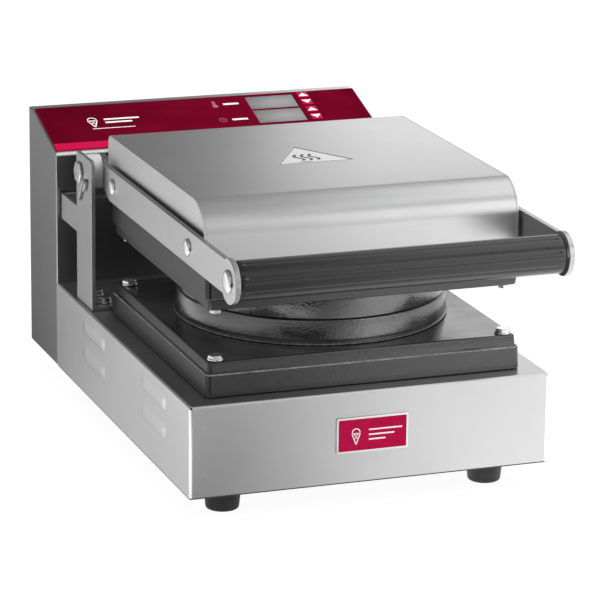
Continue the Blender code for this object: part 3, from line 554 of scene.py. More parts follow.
def make_base(m):
    bm = base_shell_mesh()
    face_outwards(bm, Vector((0, 0, 1)))
    # The third look is a painted highlight: a lighter steel copy on the upright folds between the
    # sides and the front.
    looks = [m["steel_y"], m["steel_x"], m["steel_badge_and_fold_highlight"]]
    thicken(add_piece("base_sheet", bm, looks, "root", "stainless", ["base_shell"]), SHEET)
    edge = 0.3 * MM
    xs, ys = (edge - BODY_HALF, BODY_HALF - edge), (FRONT + edge, SHELL_HIGH.y - edge)
    # A painted shadow: a thin dark strip under the bottom edge of the sheet, standing for the shade
    # in the gap there.
    shadow_outline = rounded_rectangle(xs, ys, 1.5 * MM)
    span = (BASE_BOTTOM - 1.0 * MM, BASE_BOTTOM + 0.05 * MM)
    add_prisms("base_shadow_line", [shadow_outline], "Z", span, m["dark_print_and_shadow"], "root", "stainless")
    for name in CORNERS:
        node = f"foot_{name}"
        low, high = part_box(node)
        top = (high.x - low.x) / 2
        bottom = top - 2.1 * MM
        profile = [(0.35 * bottom, 0), (bottom - 2 * MM, 0)]
        profile += [(bottom - 2 * MM + r, 2 * MM + z) for r, z in arc((0, 0), 2 * MM, -80, 0, 6)]
        profile += [(top - 0.3 * MM, high.z - 2.4 * MM), (top, high.z - 1.8 * MM), (top, high.z)]
        kind = (m["rubber"], "root", "black_rubber", [node])
        add_turned(f"rubber_foot_{name}", "Z", (*middle(node).xy, 0), profile, 56, *kind)


def make_badge(m):
    """A bordered plate with a generic cone pictogram."""
    low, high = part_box("front_badge")
    middle_z = (low.z + high.z) / 2

    def field(edge, radius):
        xs, _, zs = inset(low, high, edge)
        return rounded_rectangle(xs, zs, radius)

    span, kind = (low.y + 0.3 * MM, high.y), (m["steel_badge_and_fold_highlight"], "root", "stainless", ["front_badge"])
    bevel(add_prisms("badge_plate", [field(0, 1.2 * MM)], "Y", span, *kind), 0.3 * MM, 3)
    span, kind = (low.y + 0.12 * MM, low.y + 0.5 * MM), (m["key"], "root", "crimson_film")
    bevel(add_prisms("badge_field", [field(1.5 * MM, 0.6 * MM)], "Y", span, *kind), 0.1 * MM)
    marks = [[(a - 13 * MM, b + middle_z) for a, b in shape] for shape in cone_icon(7.6 * MM)]
    for width, drop in ((26, 3.4), (20, -0.4), (13, -4.0)):
        zs = (middle_z + (drop - 0.55) * MM, middle_z + (drop + 0.55) * MM)
        marks.append(rectangle((-3 * MM, (width - 3) * MM), zs))
    span, kind = (low.y, low.y + 0.2 * MM), (m["print"], "root", "crimson_film")
    add_prisms("badge_print", marks, "Y", span, *kind)


def cone_icon(size):
    """Outlines of a pictogram: a lattice cone with a round scoop on top."""
    top, half, tip = 0.15 * size, 0.42 * size, -0.95 * size
    width = 0.10 * size
    shapes = []
    for side in (-1, 1):
        shapes.append(stroke([(side * half, top), (0, tip)], width))
        lattice = [(side * half * 0.55, top), (-side * half * 0.35, tip * 0.42)]
        shapes.append(stroke(lattice, width * 0.7))
    shapes.append(stroke([(-half, top), (half, top)], width))
    return shapes + [stroke(arc((0, top + width), half * 0.92, 0, 180, 15), width)]


# -------- castings
CASTING_CORNER = 4.5
CASTING_BAND = 9.0


def casting_steps(height):
    """(height, inset) steps in millimetres from the wide root to the flat."""
    shoulder = height - CASTING_BAND
    steps = [(0.0, 0.6), (0.5, 0.0), (shoulder - 0.4, 0.5), (shoulder + 0.4, 1.3)]
    steps.append((shoulder + 1.6, 2.6))
    for t in (0.0, 0.4, 0.8, 1.2, 1.57):
        steps.append((height - 1.5 + 1.5 * math.sin(t), 4.6 - 1.5 * math.cos(t)))
    return steps


def make_casting(name, node, root_z, flat_z, body, m):
    """A stepped block with its flat towards the other casting, hollow from its root."""
    low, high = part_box(node)
    up = 1 if flat_z > root_z else -1
    rings = []
    for h, edge in casting_steps(abs(flat_z - root_z) / MM):
        xs, ys, _ = inset(low, high, edge * MM)
        outline = rounded_rectangle(xs, ys, (CASTING_CORNER - edge / 2) * MM, 12)
        rings.append([(x, y, root_z + up * h * MM) for x, y in outline])
    bm = bmesh.new()
    loft(bm, rings, cap_material=1)
    closed(bm)
    shoulder = flat_z - up * CASTING_BAND * MM
    # Faces at the shoulder get look 3, a painted highlight along the step edge; the sides get look
    # 2.
    for face in bm.faces:
        if abs(face.calc_center_median().z - shoulder) < 0.45 * MM:
            face.material_index = 3
        elif abs(face.normal.x) > 0.7:
            face.material_index = 2
    looks = [m["cast_sand"], m["cast_smooth"], m["cast_side"], m["cast_edge_highlight"]]
    casting = add_piece(name, bm, looks, body, "black_casting", [node])
    xs, ys, _ = inset(low, high, 12 * MM)
    pocket = bmesh.new()
    outline = rounded_rectangle(xs, ys, 4 * MM, 5)
    prism(pocket, outline, "Z", *sorted((root_z - up * 5 * MM, flat_z - up * 8 * MM)))
    carve(casting, pocket)
    return casting


def rim_steps(span):
    """(rise, growth) of a grid plate's wall: foot lip, groove, drafted sandy wall, soft edge."""
    steps = [(0, 0.2), (0.25, 0.8), (0.6, 1.0), (1.1, 1.0), (1.4, 0.7), (1.6, 0.2), (1.9, -0.2)]
    steps += [(2.5, -0.3), (3.0, -0.1), (3.5, 0.1), (5.0, 0.1), (9.0, -0.25), (span - 1.2, -0.8)]
    return steps + [(span - 0.7, -0.95), (span - 0.2, -1.35), (span, -1.9)]


def make_grid_plate(name, node, up, body, m):
    low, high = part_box(node)
    root, face = (low.z, high.z) if up > 0 else (high.z, low.z)
    centre = ((low.x + high.x) / 2, (low.y + high.y) / 2)
    radius = (high.x - low.x) / 2 - 1.0 * MM
    span = abs(face - root) / MM
    rings = []
    for rise, grow in rim_steps(span):
        z = root + up * rise * MM
        rings.append([(x, y, z) for x, y in circle(centre, radius + grow * MM, 144)])
    bm = bmesh.new()
    loft(bm, rings)
    closed(bm)
    # The foot lip's faces get look 2, a painted highlight along the lip.
    for facet in bm.faces:
        if 0.2 * MM < abs(facet.calc_center_median().z - root) < 1.3 * MM:
            facet.material_index = 2
    looks = [m["cast_ring"], m["cast_smooth"], m["cast_edge_highlight"]]
    plate = add_piece(name, bm, looks, body, "black_casting", [node])
    cavity = bmesh.new()
    steps = [(97.5 * MM, face - up * 2.6 * MM), (98.3 * MM, face + up * MM)]
    turned(cavity, "Z", (*centre, 0), steps, 144)
    carve(plate, cavity)
    make_waffle_pattern(f"{name}_pattern", centre, face, up, body, m)


def make_waffle_pattern(name, centre, face, up, body, m):
    """Square pads between crossing grooves, turned an eighth, trimmed to the round cavity."""
    pitch, cells = 7.4, 27
    floor, top = 2.65, 0.45
    groove_floor, groove_edge, groove_depth = 0.55, 1.75, 1.25
    half = pitch * cells / 2
    steps = (0.0, groove_floor, groove_edge, pitch - groove_edge, pitch - groove_floor)
    lines = [i * pitch - half + step for i in range(cells) for step in steps] + [half]

    def depth(a):
        near = min((a + half) % pitch, pitch - (a + half) % pitch)
        slope = (groove_edge - near) / (groove_edge - groove_floor)
        return groove_depth * min(max(slope, 0.0), 1.0)

    turn = math.sqrt(0.5)
    bm = bmesh.new()
    rows = []
    for a in lines:
        row = []
        for b in lines:
            z = face - up * (top + max(depth(a), depth(b))) * MM
            x, y = centre[0] + (a - b) * turn * MM, centre[1] + (a + b) * turn * MM
            row.append(bm.verts.new((x, y, z)))
        rows.append(row)
    for low, high in zip(rows, rows[1:]):
        for i in range(len(lines) - 1):
            bm.faces.new((low[i], low[i + 1], high[i + 1], high[i]))
    edges = [edge for edge in bm.edges if edge.is_boundary]
    skirt = bmesh.ops.extrude_edge_only(bm, edges=edges)["geom"]
    for vert in (v for v in skirt if isinstance(v, bmesh.types.BMVert)):
        vert.co.z = face - up * floor * MM
    bmesh.ops.contextual_create(bm, geom=[edge for edge in bm.edges if edge.is_boundary])
    pattern = add_piece(name, closed(bm), m["cast_smooth"], body, "black_casting", angle=20)
    trim = bmesh.new()
    turned(trim, "Z", (*centre, face), [(97.2 * MM, -5 * MM), (97.2 * MM, 5 * MM)], 144)
    carve(pattern, trim, "INTERSECT")


def make_castings(m):
    low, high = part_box("lower_casting")
    make_casting("lower_cast_body", "lower_casting", low.z, high.z, "root", m)
    low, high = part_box("upper_casting")
    top = low.z + 25.5 * MM
    casting = make_casting("upper_cast_body", "upper_casting", top, low.z, "lid", m)
    lugs = bmesh.new()
    for name in CORNERS:
        side, y = SIDES[name.split("_")[1]], middle(f"arm_bolt_{name}").y
        reach = 119.9 if name.startswith("front") else 115.6
        xs = sorted((side * 104 * MM, side * reach * MM))
        box(lugs, xs, (y - 9 * MM, y + 9 * MM), (top - 5 * MM, high.z))
    carve(casting, lugs, "UNION")
    make_grid_plate("lower_plate", "lower_grid_plate", 1, "root", m)
    make_grid_plate("upper_plate", "upper_grid_plate", -1, "lid", m)


def make_upper_bolts(m):
    """The bolts under the upper casting, like the lower ones upside down."""
    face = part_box("upper_casting")[0].z
    for name in CORNERS:
        x, y, _ = middle(f"lower_casting_bolt_{name}")
        bm = bmesh.new()
        turned(bm, "Z", (x, y, face), [(5.0 * MM, 0), (5.0 * MM, -0.5 * MM)], 32)
        prism(bm, circle((x, y), 8 / math.sqrt(3) * MM, 6), "Z", face - 3.0 * MM, face - 0.5 * MM)
        kind = (m["bright"], "lid", "bright_fastener")
        bevel(add_piece(f"upper_casting_bolt_{name}", closed(bm), *kind), 0.35 * MM)


# -------- lid
COVER_FRONT_BEND = 25.0
COVER_BACK_BEND = 6.0


def cover_path(edge):
    """The lid's outline from its back foot over the top to its front foot, in (y, z)."""
    low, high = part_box("lid_cover")
    back, front, top = high.y - edge, low.y + edge, high.z - edge
    outline = [(back, low.z)]
    r = COVER_BACK_BEND * MM - edge
    outline += arc((back - r, top - r), r, 0, 90, 8)
    r = COVER_FRONT_BEND * MM - edge
    outline += arc((front + r, top - r), r, 90, 180, 28)
    return outline + [(front, low.z)]


def make_lid_cover(m):
    wrap_half, plate_out = 120.4 * MM, 122.0 * MM
    outline = cover_path(0) + cover_path(SHEET)[::-1]
    kind = (m["steel_x"], "lid", "stainless", ["lid_cover"])
    wrap = add_prisms("lid_wrap", [outline], "X", (-wrap_half, wrap_half), *kind)
    low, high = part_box("lid_cover")
    cuts = bmesh.new()
    for side in SIDES.values():
        xs = sorted((side * 115.6 * MM, side * 125 * MM))
        box(cuts, xs, (high.y - 2.2 * MM, high.y + MM), (low.z - MM, 209 * MM))
    carve(wrap, cuts)
    make_sign(m, wrap, high.z)
    bevel(wrap, 0.3 * MM)
    for side_name, side in SIDES.items():
        span = sorted((side * (wrap_half + 0.05 * MM), side * plate_out))
        # The cheeks get a lighter steel copy: painted light.
        kind = (m["steel_lit_cheek"], "lid", "stainless", [f"lid_side_{side_name}"])
        bevel(add_prisms(f"lid_cheek_{side_name}", [cover_path(0)], "X", span, *kind), 0.4 * MM, 3)


SIGN = ((-29.5, 126.5), (31.5, 126.5), (1.0, 178.5))


def sign_solid(outlines, low, high):
    """Outlines in (x, distance from the front) raised between two heights."""
    bm = bmesh.new()
    for outline in outlines:
        loft(bm, [[(x * MM, at_y(y), z) for x, y in outline] for z in (low, high)])
    return closed(bm)


def make_sign(m, wrap, top):
    """A generic hot-surface sign let into the lid: a pale triangle with heat waves and a printed
    border, whose heavy right-hand and bottom strokes are also painted shade of the recess edge.
    """
    centre = Vector((sum(x for x, _ in SIGN) / 3, sum(y for _, y in SIGN) / 3))

    def shrunk(share):
        return [tuple(centre + (Vector(corner) - centre) * share) for corner in SIGN]

    carve(wrap, sign_solid([SIGN], top - 0.25 * MM, top + MM))
    field = sign_solid([shrunk(0.985)], top - 0.4 * MM, top - 0.08 * MM)
    add_piece("lid_sign", field, m["pale_fill_and_highlight"], "lid", "stainless")
    left, right, tip = shrunk(0.955)
    # Border strokes: print, thickened on the right and bottom as painted shade of the recess edge.
    lines = [stroke([right, tip], 1.7), stroke([left, tip], 0.5), stroke([left, right], 0.7)]
    turns = [i / 16 for i in range(17)]
    for x in (-7.0, -1.0, 5.0):
        wave = [(x + 2.1 * math.sin(2 * math.pi * 1.1 * t) - t, 134.0 + 19.0 * t) for t in turns]
        lines.append(stroke(wave, 2.3))
    lines.append(stroke([(-11.0, 130.2), (-1.0, 130.2)], 1.1))
    marks = sign_solid(lines, top - 0.3 * MM, top - 0.02 * MM)
    add_piece("lid_sign_print", marks, m["dark_print_and_shadow"], "lid", "stainless")


def arm_outline(node):
    low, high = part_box(node)
    disc_r = GRIP.y - low.y
    bar_low, bar_high = HINGE.z - 11.5 * MM, HINGE.z + 14.5 * MM
    above = math.degrees(math.asin((bar_high - HINGE.z) / disc_r))
    below = math.degrees(math.asin((HINGE.z - bar_low) / disc_r))
    outline = arc((GRIP.y, HINGE.z), disc_r, above, 360 - below, 48)
    rear = [(high.y - 18 * MM, bar_low), (high.y, bar_low + 7 * MM), (high.y, bar_high)]
    return outline + rear


def make_button_head(name, node, side, m):
    """A low dome bolt head with its shank, across X."""
    low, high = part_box(node)
    radius = (high.z - low.z) / 2
    _, y, z = middle(node)
    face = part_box("handle_arm_right")[1].x + GAP * 0.5
    rise = abs(low.x if side < 0 else high.x) - face
    rim = 0.7 * MM
    profile = [(3 * MM, face - 14 * MM), (3 * MM, face), (radius, face), (radius, face + rim)]
    for t in spread(0, math.pi / 2, 9)[1:-1]:
        width = radius * (0.42 + 0.58 * math.cos(t))
        profile.append((width, face + rim + (rise - rim) * math.sin(t)))
    profile.append((radius * 0.40, face + rise))
    steps = [(r, side * h) for r, h in profile]
    add_turned(name, "X", (0, y, z), steps, 40, m["bright"], "lid", "bright_fastener", [node])


def make_arms(m):
    for side_name, side in SIDES.items():
        node = f"handle_arm_{side_name}"
        low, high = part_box(node)
        # The arms get a slightly darker steel copy: painted shade.
        kind = (m["steel_shaded_bar"], "lid", "stainless", [node])
        arm = add_prisms(f"arm_bar_{side_name}", [arm_outline(node)], "X", (low.x, high.x), *kind)
        bevel(arm, 0.5 * MM, 3)
        for row in ("front", "rear"):
            bolt = f"arm_bolt_{row}_{side_name}"
            make_button_head(f"arm_screw_{row}_{side_name}", bolt, side, m)
            place = (0, *middle(bolt).yz)
            steps = [(7 * MM, x) for x in sorted((side * 122.1 * MM, side * 123.9 * MM))]
            kind = (m["bright"], "lid", "bright_fastener")
            add_turned(f"arm_spacer_{row}_{side_name}", "X", place, steps, 32, *kind)
        make_button_head(f"grip_screw_{side_name}", f"grip_bolt_{side_name}", side, m)


GROOVES = 8
GROOVE_PHASE = 26.0
GROOVE_STEPS = ((-3.2, 0), (-2.0, 0.45), (-1.0, 0.9), (0, 1), (1.0, 0.9), (2.0, 0.45), (3.2, 0))


def make_grip(m):
    """A smooth tube with narrow lengthwise grooves, and plain collars at both ends."""
    half = GRIP_HIGH.x
    radius = (GRIP_HIGH.z - GRIP_LOW.z) / 2
    sector = 360 / GROOVES
    steps = list(GROOVE_STEPS) + [(3.2 + (sector - 6.4) * i / 8, 0) for i in range(1, 8)]

    def outline(r, depth):
        points = []
        for groove in range(GROOVES):
            for turn, dip in steps:
                t = math.radians(GROOVE_PHASE + groove * sector + turn)
                reach = r - depth * dip
                points.append((GRIP.y + reach * math.cos(t), GRIP.z + reach * math.sin(t)))
        return points

    stations = [(0.0, -1.6, 0), (0.4, -0.7, 0), (1.2, -0.2, 0), (2.0, 0, 0), (5.0, 0, 0)]
    stations += [(5.5, 0, 0.3), (6.2, 0, 0.6), (7.5, 0, 0.65)]
    layers = [(s * MM - half, grow, dip) for s, grow, dip in stations]
    layers += [(-x, grow, dip) for x, grow, dip in layers[::-1]]
    rings = []
    for x, grow, dip in layers:
        rings.append([(x, a, b) for a, b in outline(radius + grow * MM, dip * MM)])
    bm = bmesh.new()
    loft(bm, rings)
    kind = (m["grip"], "lid", "black_grip", ["handle_grip"])
    add_piece("grip_tube", closed(bm), *kind, angle=50).visible_glossy = False


# -------- hinge
SPRING_WIRE = 1.2
SPRING_HOLE = (288.0, 174.5)
SPRING_HOOK = ((-13.5, 9.5), (-17.5, 16.0), (-15.5, 18.5), (-12.0, 17.0), (-1.0, 1.0))


def rounded_path(points, radius, count=5):
    """The path with each inner corner turned into a short arc-like curve."""
    points = [Vector(point) for point in points]
    path = [points[0]]
    for before, corner, after in zip(points, points[1:], points[2:]):
        reach = min(radius, (before - corner).length / 2, (after - corner).length / 2)
        start = corner + (before - corner).normalized() * reach
        end = corner + (after - corner).normalized() * reach
        for i in range(count):
            t = i / (count - 1)
            path.append(start * (1 - t) ** 2 + corner * 2 * t * (1 - t) + end * t ** 2)
    return path + [points[-1]]


def spring_path(side):
    """The hook outside the bracket, the way in through its hole, the coil, and the inner leg."""
    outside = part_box("hinge_bracket_right")[1].x / MM + SPRING_WIRE + 0.3
    coil_x, pitch, radius, turns = 113.5, 3.4, 9.5, 5
    y, z = SPRING_HOLE
    hinge_y, hinge_z = (HINGE.y - FRONT) / MM, HINGE.z / MM
    corners = [(outside, y + dy, z + dz) for dy, dz in SPRING_HOOK]
    corners += [(outside, y, z), (coil_x + 1.5, y, z)]
    rounds = arc((hinge_y, hinge_z), radius, -90, 360 * turns - 90, turns * 24 + 1)
    coil = [(coil_x - pitch * i / 24, *place) for i, place in enumerate(rounds)]
    inner = coil_x - pitch * turns
    legs = [(inner, hinge_y - reach, hinge_z - radius) for reach in (6, 14, 23)]
    path = [tuple(point) for point in rounded_path(corners + coil[:1], 2.0)] + coil[1:] + legs
    return [(side * x * MM, at_y(y), z * MM) for x, y, z in path]


def make_collars(m):
    """Turned sleeves over the bosses of the hinge links, in a pale alloy that paints their
    highlight.
    """
    profile = ((9, 120.2), (13.5, 120.2), (13.5, 131.9), (9, 131.9))
    place, kind = (0, HINGE.y, HINGE.z), (m["pale_fill_and_highlight"], "lid", "stainless")
    for side_name, side in SIDES.items():
        steps = [(r * MM, side * x * MM) for r, x in profile]
        bevel(add_turned(f"boss_sleeve_{side_name}", "X", place, steps, 48, *kind), 0.6 * MM, 3)


def make_springs(m):
    for side_name, side in SIDES.items():
        bm = bmesh.new()
        tube(bm, spring_path(side), SPRING_WIRE * MM, 12)
        kind = (m["spring"], "root", "spring_steel", [f"torsion_spring_{side_name}"])
        add_piece(f"spring_wire_{side_name}", closed(bm), *kind)


# -------- control tower
SLOPE_LOW = 198.0
SLOPE_FRONT = HOUSING_HIGH.y - 79.0 * MM
SLOPE_RUN = 67.0
SLOPE_ANGLE = math.atan2(HOUSING_HIGH.z / MM - SLOPE_LOW, SLOPE_RUN)
FILM_TOP = 0.9
BUTTON_S = {"timer_down": 28.0, "timer_up": 40.0, "temp_down": 52.6, "temp_up": 64.3}


def on_slope(x, s, n):
    """The point s millimetres up the slope and n above its face."""
    cos, sin = math.cos(SLOPE_ANGLE), math.sin(SLOPE_ANGLE)
    y = SLOPE_FRONT + (s * cos - n * sin) * MM
    return (x * MM, y, (SLOPE_LOW + s * sin + n * cos) * MM)


def add_on_slope(name, outlines, span, material, body="root"):
    """Outlines in (x, s) millimetres, raised between two heights above the slope."""
    bm = bmesh.new()
    for outline in outlines:
        loft(bm, [[on_slope(x, s, n) for x, s in outline] for n in span])
    add_piece(name, closed(bm), material, body, "crimson_film")


def make_housing(m):
    y0, y1 = SLOPE_FRONT, HOUSING_HIGH.y
    z0, z1 = HOUSING_LOW.z, HOUSING_HIGH.z
    outline = [(y0, z0), (y0, SLOPE_LOW * MM), (y0 + SLOPE_RUN * MM, z1), (y1, z1), (y1, z0)]
    bm = bmesh.new()
    prism(bm, outline, "X", -BODY_HALF, BODY_HALF)
    closed(bm)
    doomed = [f for f in bm.faces if f.normal.y > 0.99 or f.normal.z < -0.99]
    bmesh.ops.delete(bm, geom=doomed, context="FACES")
    folds = [edge for edge in bm.edges if not edge.is_boundary]
    bmesh.ops.bevel(bm, geom=folds, offset=1.2 * MM, segments=5, affect="EDGES", profile=0.5)
    for face in bm.faces:
        face.material_index = 0 if abs(face.normal.x) > 0.7 or face.normal.y < -0.9 else 1
    face_outwards(closed(bm), Vector((0, 0, 1)))
    # Sides and front get the darker steel copy, painted shade; the slope and top get the plain
    # tone.
    looks = [m["steel_shaded_z"], m["steel_x"]]
    thicken(add_piece("tower_sheet", bm, looks, "root", "stainless", ["control_housing"]), SHEET)
    low, edge = (SLOPE_LOW - 2.6) * MM, BODY_HALF - 0.4 * MM
    section = [(y0 + 0.4 * MM, low), (y0 - 2.5 * MM, low), (y0 - 2.5 * MM, low + 1.6 * MM)]
    section.append((y0 + 0.4 * MM, low + 2.5 * MM))
    # The lip's pale alloy is a painted highlight along the slope's lower edge.
    kind = (m["pale_fill_and_highlight"], "root", "stainless")
    bevel(add_prisms("tower_lip", [section], "X", (-edge, edge), *kind), 0.7 * MM, 3)


def triangle(x, s, size, up):
    tip = size / 2 if up else -size / 2
    half = size * 0.82
    return [(x - half, s - tip), (x + half, s - tip), (x, s + tip)]


def make_panel_print(m):
    """The film's generic graphics: stripe, pictograms and plain label bars, no lettering."""
    ink = (FILM_TOP - 0.02, FILM_TOP + 0.05)
    stripe = rectangle((-138.6, 138.6), (1.6, 12.0))
    add_on_slope("film_stripe", [stripe], (0.05, ink[1]), m["stripe"])
    margins = [rectangle((side * 137.2, side * 138.6), (1.6, 70.0)) for side in SIDES.values()]
    add_on_slope("film_margins", margins, (0.05, FILM_TOP), m["crimson"])
    marks = [[(x - 97.0, s + 43.0) for x, s in outline] for outline in cone_icon(9.5)]
    marks += [stroke([(-87.0, s), (end, s)], 2.2) for end, s in ((-57.0, 45.5), (-64.0, 40.5))]
    marks.append(stroke([(-100.0, 31.5), (-64.0, 31.5)], 0.9))
    marks += [stroke([(19.5, s), (33.0, s)], 2.6) for s in (57.0, 31.5)]
    add_on_slope("film_print", marks, ink, m["print"])
    thermometer = [stroke([(12.0, 57.0), (12.0, 62.5)], 2.6), circle((12.0, 54.8), 2.5, 20)]
    clock = [stroke(arc((11.5, 31.5), 2.9, 0, 350, 24), 0.7)]
    clock.append(stroke([(11.5, 33.3), (11.5, 31.5), (12.9, 31.5)], 0.6))
    add_on_slope("film_icons", thermometer + clock, ink, m["soft_print"])
    raised = (FILM_TOP + 0.28, FILM_TOP + 0.36)
    for name, s in BUTTON_S.items():
        arrow = triangle(92.0, s, 5.4, name.endswith("up"))
        add_on_slope(f"arrow_{name}", [arrow], raised, m["print"], name)


# -------- rear
def make_rear(m):
    """Panel screws, and the three blades inside the power inlet."""
    low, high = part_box("rear_panel")
    back = high.y
    kind = (m["bright"], "root", "bright_fastener")
    steps = ((3.4, 0), (3.4, 0.4), (2.9, 1.2), (1.8, 1.7), (0.6, 1.85))
    dome = [(r * MM, h * MM) for r, h in steps]

    def around(x, z, dx, dz):
        return (x - dx * MM, x + dx * MM), (z - dz * MM, z + dz * MM)

    for x in (low.x + 8 * MM, 0, high.x - 8 * MM):
        for row, z in (("low", low.z + 10 * MM), ("high", high.z - 8 * MM)):
            name = f"rear_screw_{row}_{round(x / MM) + 200}"
            screw = add_turned(name, "Y", (x, back, z), dome, 32, *kind)
            for reach in ((2.0, 0.35), (0.35, 2.0)):
                xs, zs = around(x, z, *reach)
                groove = bmesh.new()
                box(groove, xs, (back + 0.8 * MM, back + 3 * MM), zs)
                carve(screw, groove)
    x, _, z = middle("power_inlet")
    places = ((-7, -2), (7, -2), (0, 2.2))
    blades = [rectangle(*around(x + dx * MM, z + dz * MM, 1, 2)) for dx, dz in places]
    span = (back - 14.9 * MM, back - 1.5 * MM)
    bevel(add_prisms("inlet_blades", blades, "Y", span, *kind), 0.3 * MM)


# -------- CAD nodes that stay
FLAT_NODES = ("rear_panel", "bottom_plate", "hinge_bracket_left", "hinge_bracket_right")


def finish_nodes(m):
    """Better materials and soft edges for the CAD nodes that are shown as they are."""
    groups = [  # material, width of the soft edge in millimetres, nodes
        ("steel_y", 0.2, ["bottom_plate"]),
        ("steel_x", 0.2, ["rear_panel"]),
        # Painted shade: the brackets and hinge links get darker steel copies.
        ("steel_shaded_flank", 0.5, [f"hinge_bracket_{side}" for side in SIDES]),
        ("steel_shaded_z", 0.5, [f"hinge_link_{side}" for side in SIDES]),
        ("bright", 0.3, ["hinge_shaft"]),
        ("bright", 0.4, [f"hinge_nut_{side}" for side in SIDES]),
        ("bright", 0.3, [f"lower_casting_bolt_{name}" for name in CORNERS]),
        ("bright", 0.3, [f"bracket_bolt_{name}" for name in CORNERS]),
        ("nylon", 0.3, [f"pivot_washer_{side}" for side in SIDES]),
        ("crimson", 0, ["control_overlay"]),
        ("key", 0.15, [f"{name}_button" for name in BUTTON_S]),
        ("display", 0, ["temp_display", "timer_display"]),
        ("board", 0, ["control_board"]),
        ("plastic", 0.4, ["power_inlet"]),
        ("plastic", 0.3, ["switch_frame"]),
        ("plastic", 0.5, ["switch_rocker"]),
        ("heater", 0, ["lower_heater", "upper_heater"]),
        ("wool", 1.0, ["lower_insulation", "upper_insulation"]),
    ]
    for key, width, nodes in groups:
        for node in nodes:
            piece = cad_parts[node]
            piece.data.materials.clear()
            piece.data.materials.append(m[key])
            if node in FLAT_NODES:
                piece.data.shade_flat()
            else:
                piece.data.shade_smooth()
            piece.modifiers.new("weld", "WELD").merge_threshold = 0.005 * MM
            if width:
                bevel(piece, width * MM, 3, 30)


# -------- studio and camera
class Paint(Nodes):
    """An emission material whose brightness follows the place on its card."""

    def __init__(self, name):
        self.material = bpy.data.materials.new(name)
        self.material.use_nodes = True
        super().__init__(self.material.node_tree)
        self.nodes.clear()
        self.emission = self.add("Emission", {})
        self.add("OutputMaterial", {"Surface": self.emission.outputs[0]})
        self.place = self.add("TexCoord", {}).outputs["Object"]

    def distance(self, direction, origin=(0, 0)):
        """How far a place lies from the origin along a direction."""
        offset = self.add("VectorMath", {0: self.place, 1: (-origin[0] * MM, -origin[1] * MM, 0)})
        inputs = {0: offset.outputs[0], 1: direction}
        return self.add("VectorMath", inputs, operation="DOT_PRODUCT").outputs["Value"]

    def along(self, direction, stops, origin=(0, 0)):
        """Brightness from (millimetres along a direction, value) stops."""
        return self.ramp(self.distance(direction, origin), [(d * MM, v) for d, v in stops])

    def times(self, one, other):
        return self.math("MULTIPLY", one, other)

    def add_card(self, corners, brightness):
        """A studio card of this paint that only reflections see."""
        self.feed(self.emission, {"Strength": brightness})
        bm = bmesh.new()
        bm.faces.new([bm.verts.new(Vector(corner) * MM) for corner in corners])
        card = add_mesh(self.material.name, bm, [self.material])
        card.visible_camera = card.visible_diffuse = card.visible_shadow = False
        card.visible_transmission = card.visible_volume_scatter = False


# brightness at millimetres along the direction that make_cards gives
FRONT_STOPS = [(-290, 1.1), (-235, 1.0), (-214, 0.24), (-140, 0.58), (-70, 0.98), (0, 1.2)]
FRONT_STOPS += [(70, 1.38), (300, 1.45), (700, 1.05)]
FAR_STOPS = [(-1100, 1.3), (-1023, 1.04), (-959, 0.78), (-760, 0.95), (-700, 1.0), (0, 1.0)]
LEFT_STOPS = [(-1500, 0.9), (-1250, 1.1), (-1060, 1.9), (-880, 1.8), (-760, 1.1), (-566, 0.80)]
LEFT_STOPS += [(-383, 0.69), (-283, 0.57), (-218, 0.42), (-139, 0.26), (100, 0.28), (500, 0.7)]
BACK_STOPS = [(-100, 0.2), (110, 0.22), (190, 0.38), (260, 0.95), (340, 1.30), (1000, 1.30)]
CEILING_STOPS = [(-300, 0.28), (190, 0.30), (380, 1.35), (1200, 1.5)]
FORE_STOPS = [(-1200, 0.8), (-200, 0.26), (370, 0.26), (560, 1.8), (2000, 1.8)]
# brightness at an angle in radians from behind, over the top, to the front
SKY_STOPS = [(-1.57, 0.35), (0.0, 0.30), (0.40, 0.25), (0.9, 0.25), (1.3, 0.7), (2.2, 0.7)]
SKY_STOPS += [(3.0, 0.6), (3.14, 0.5)]


def level_card(xs, ys, z):
    return [(x, y, z) for x, y in rectangle(xs, ys)]


def upright_card(xs, y, zs):
    return [(x, y, z) for x, z in rectangle(xs, zs)]


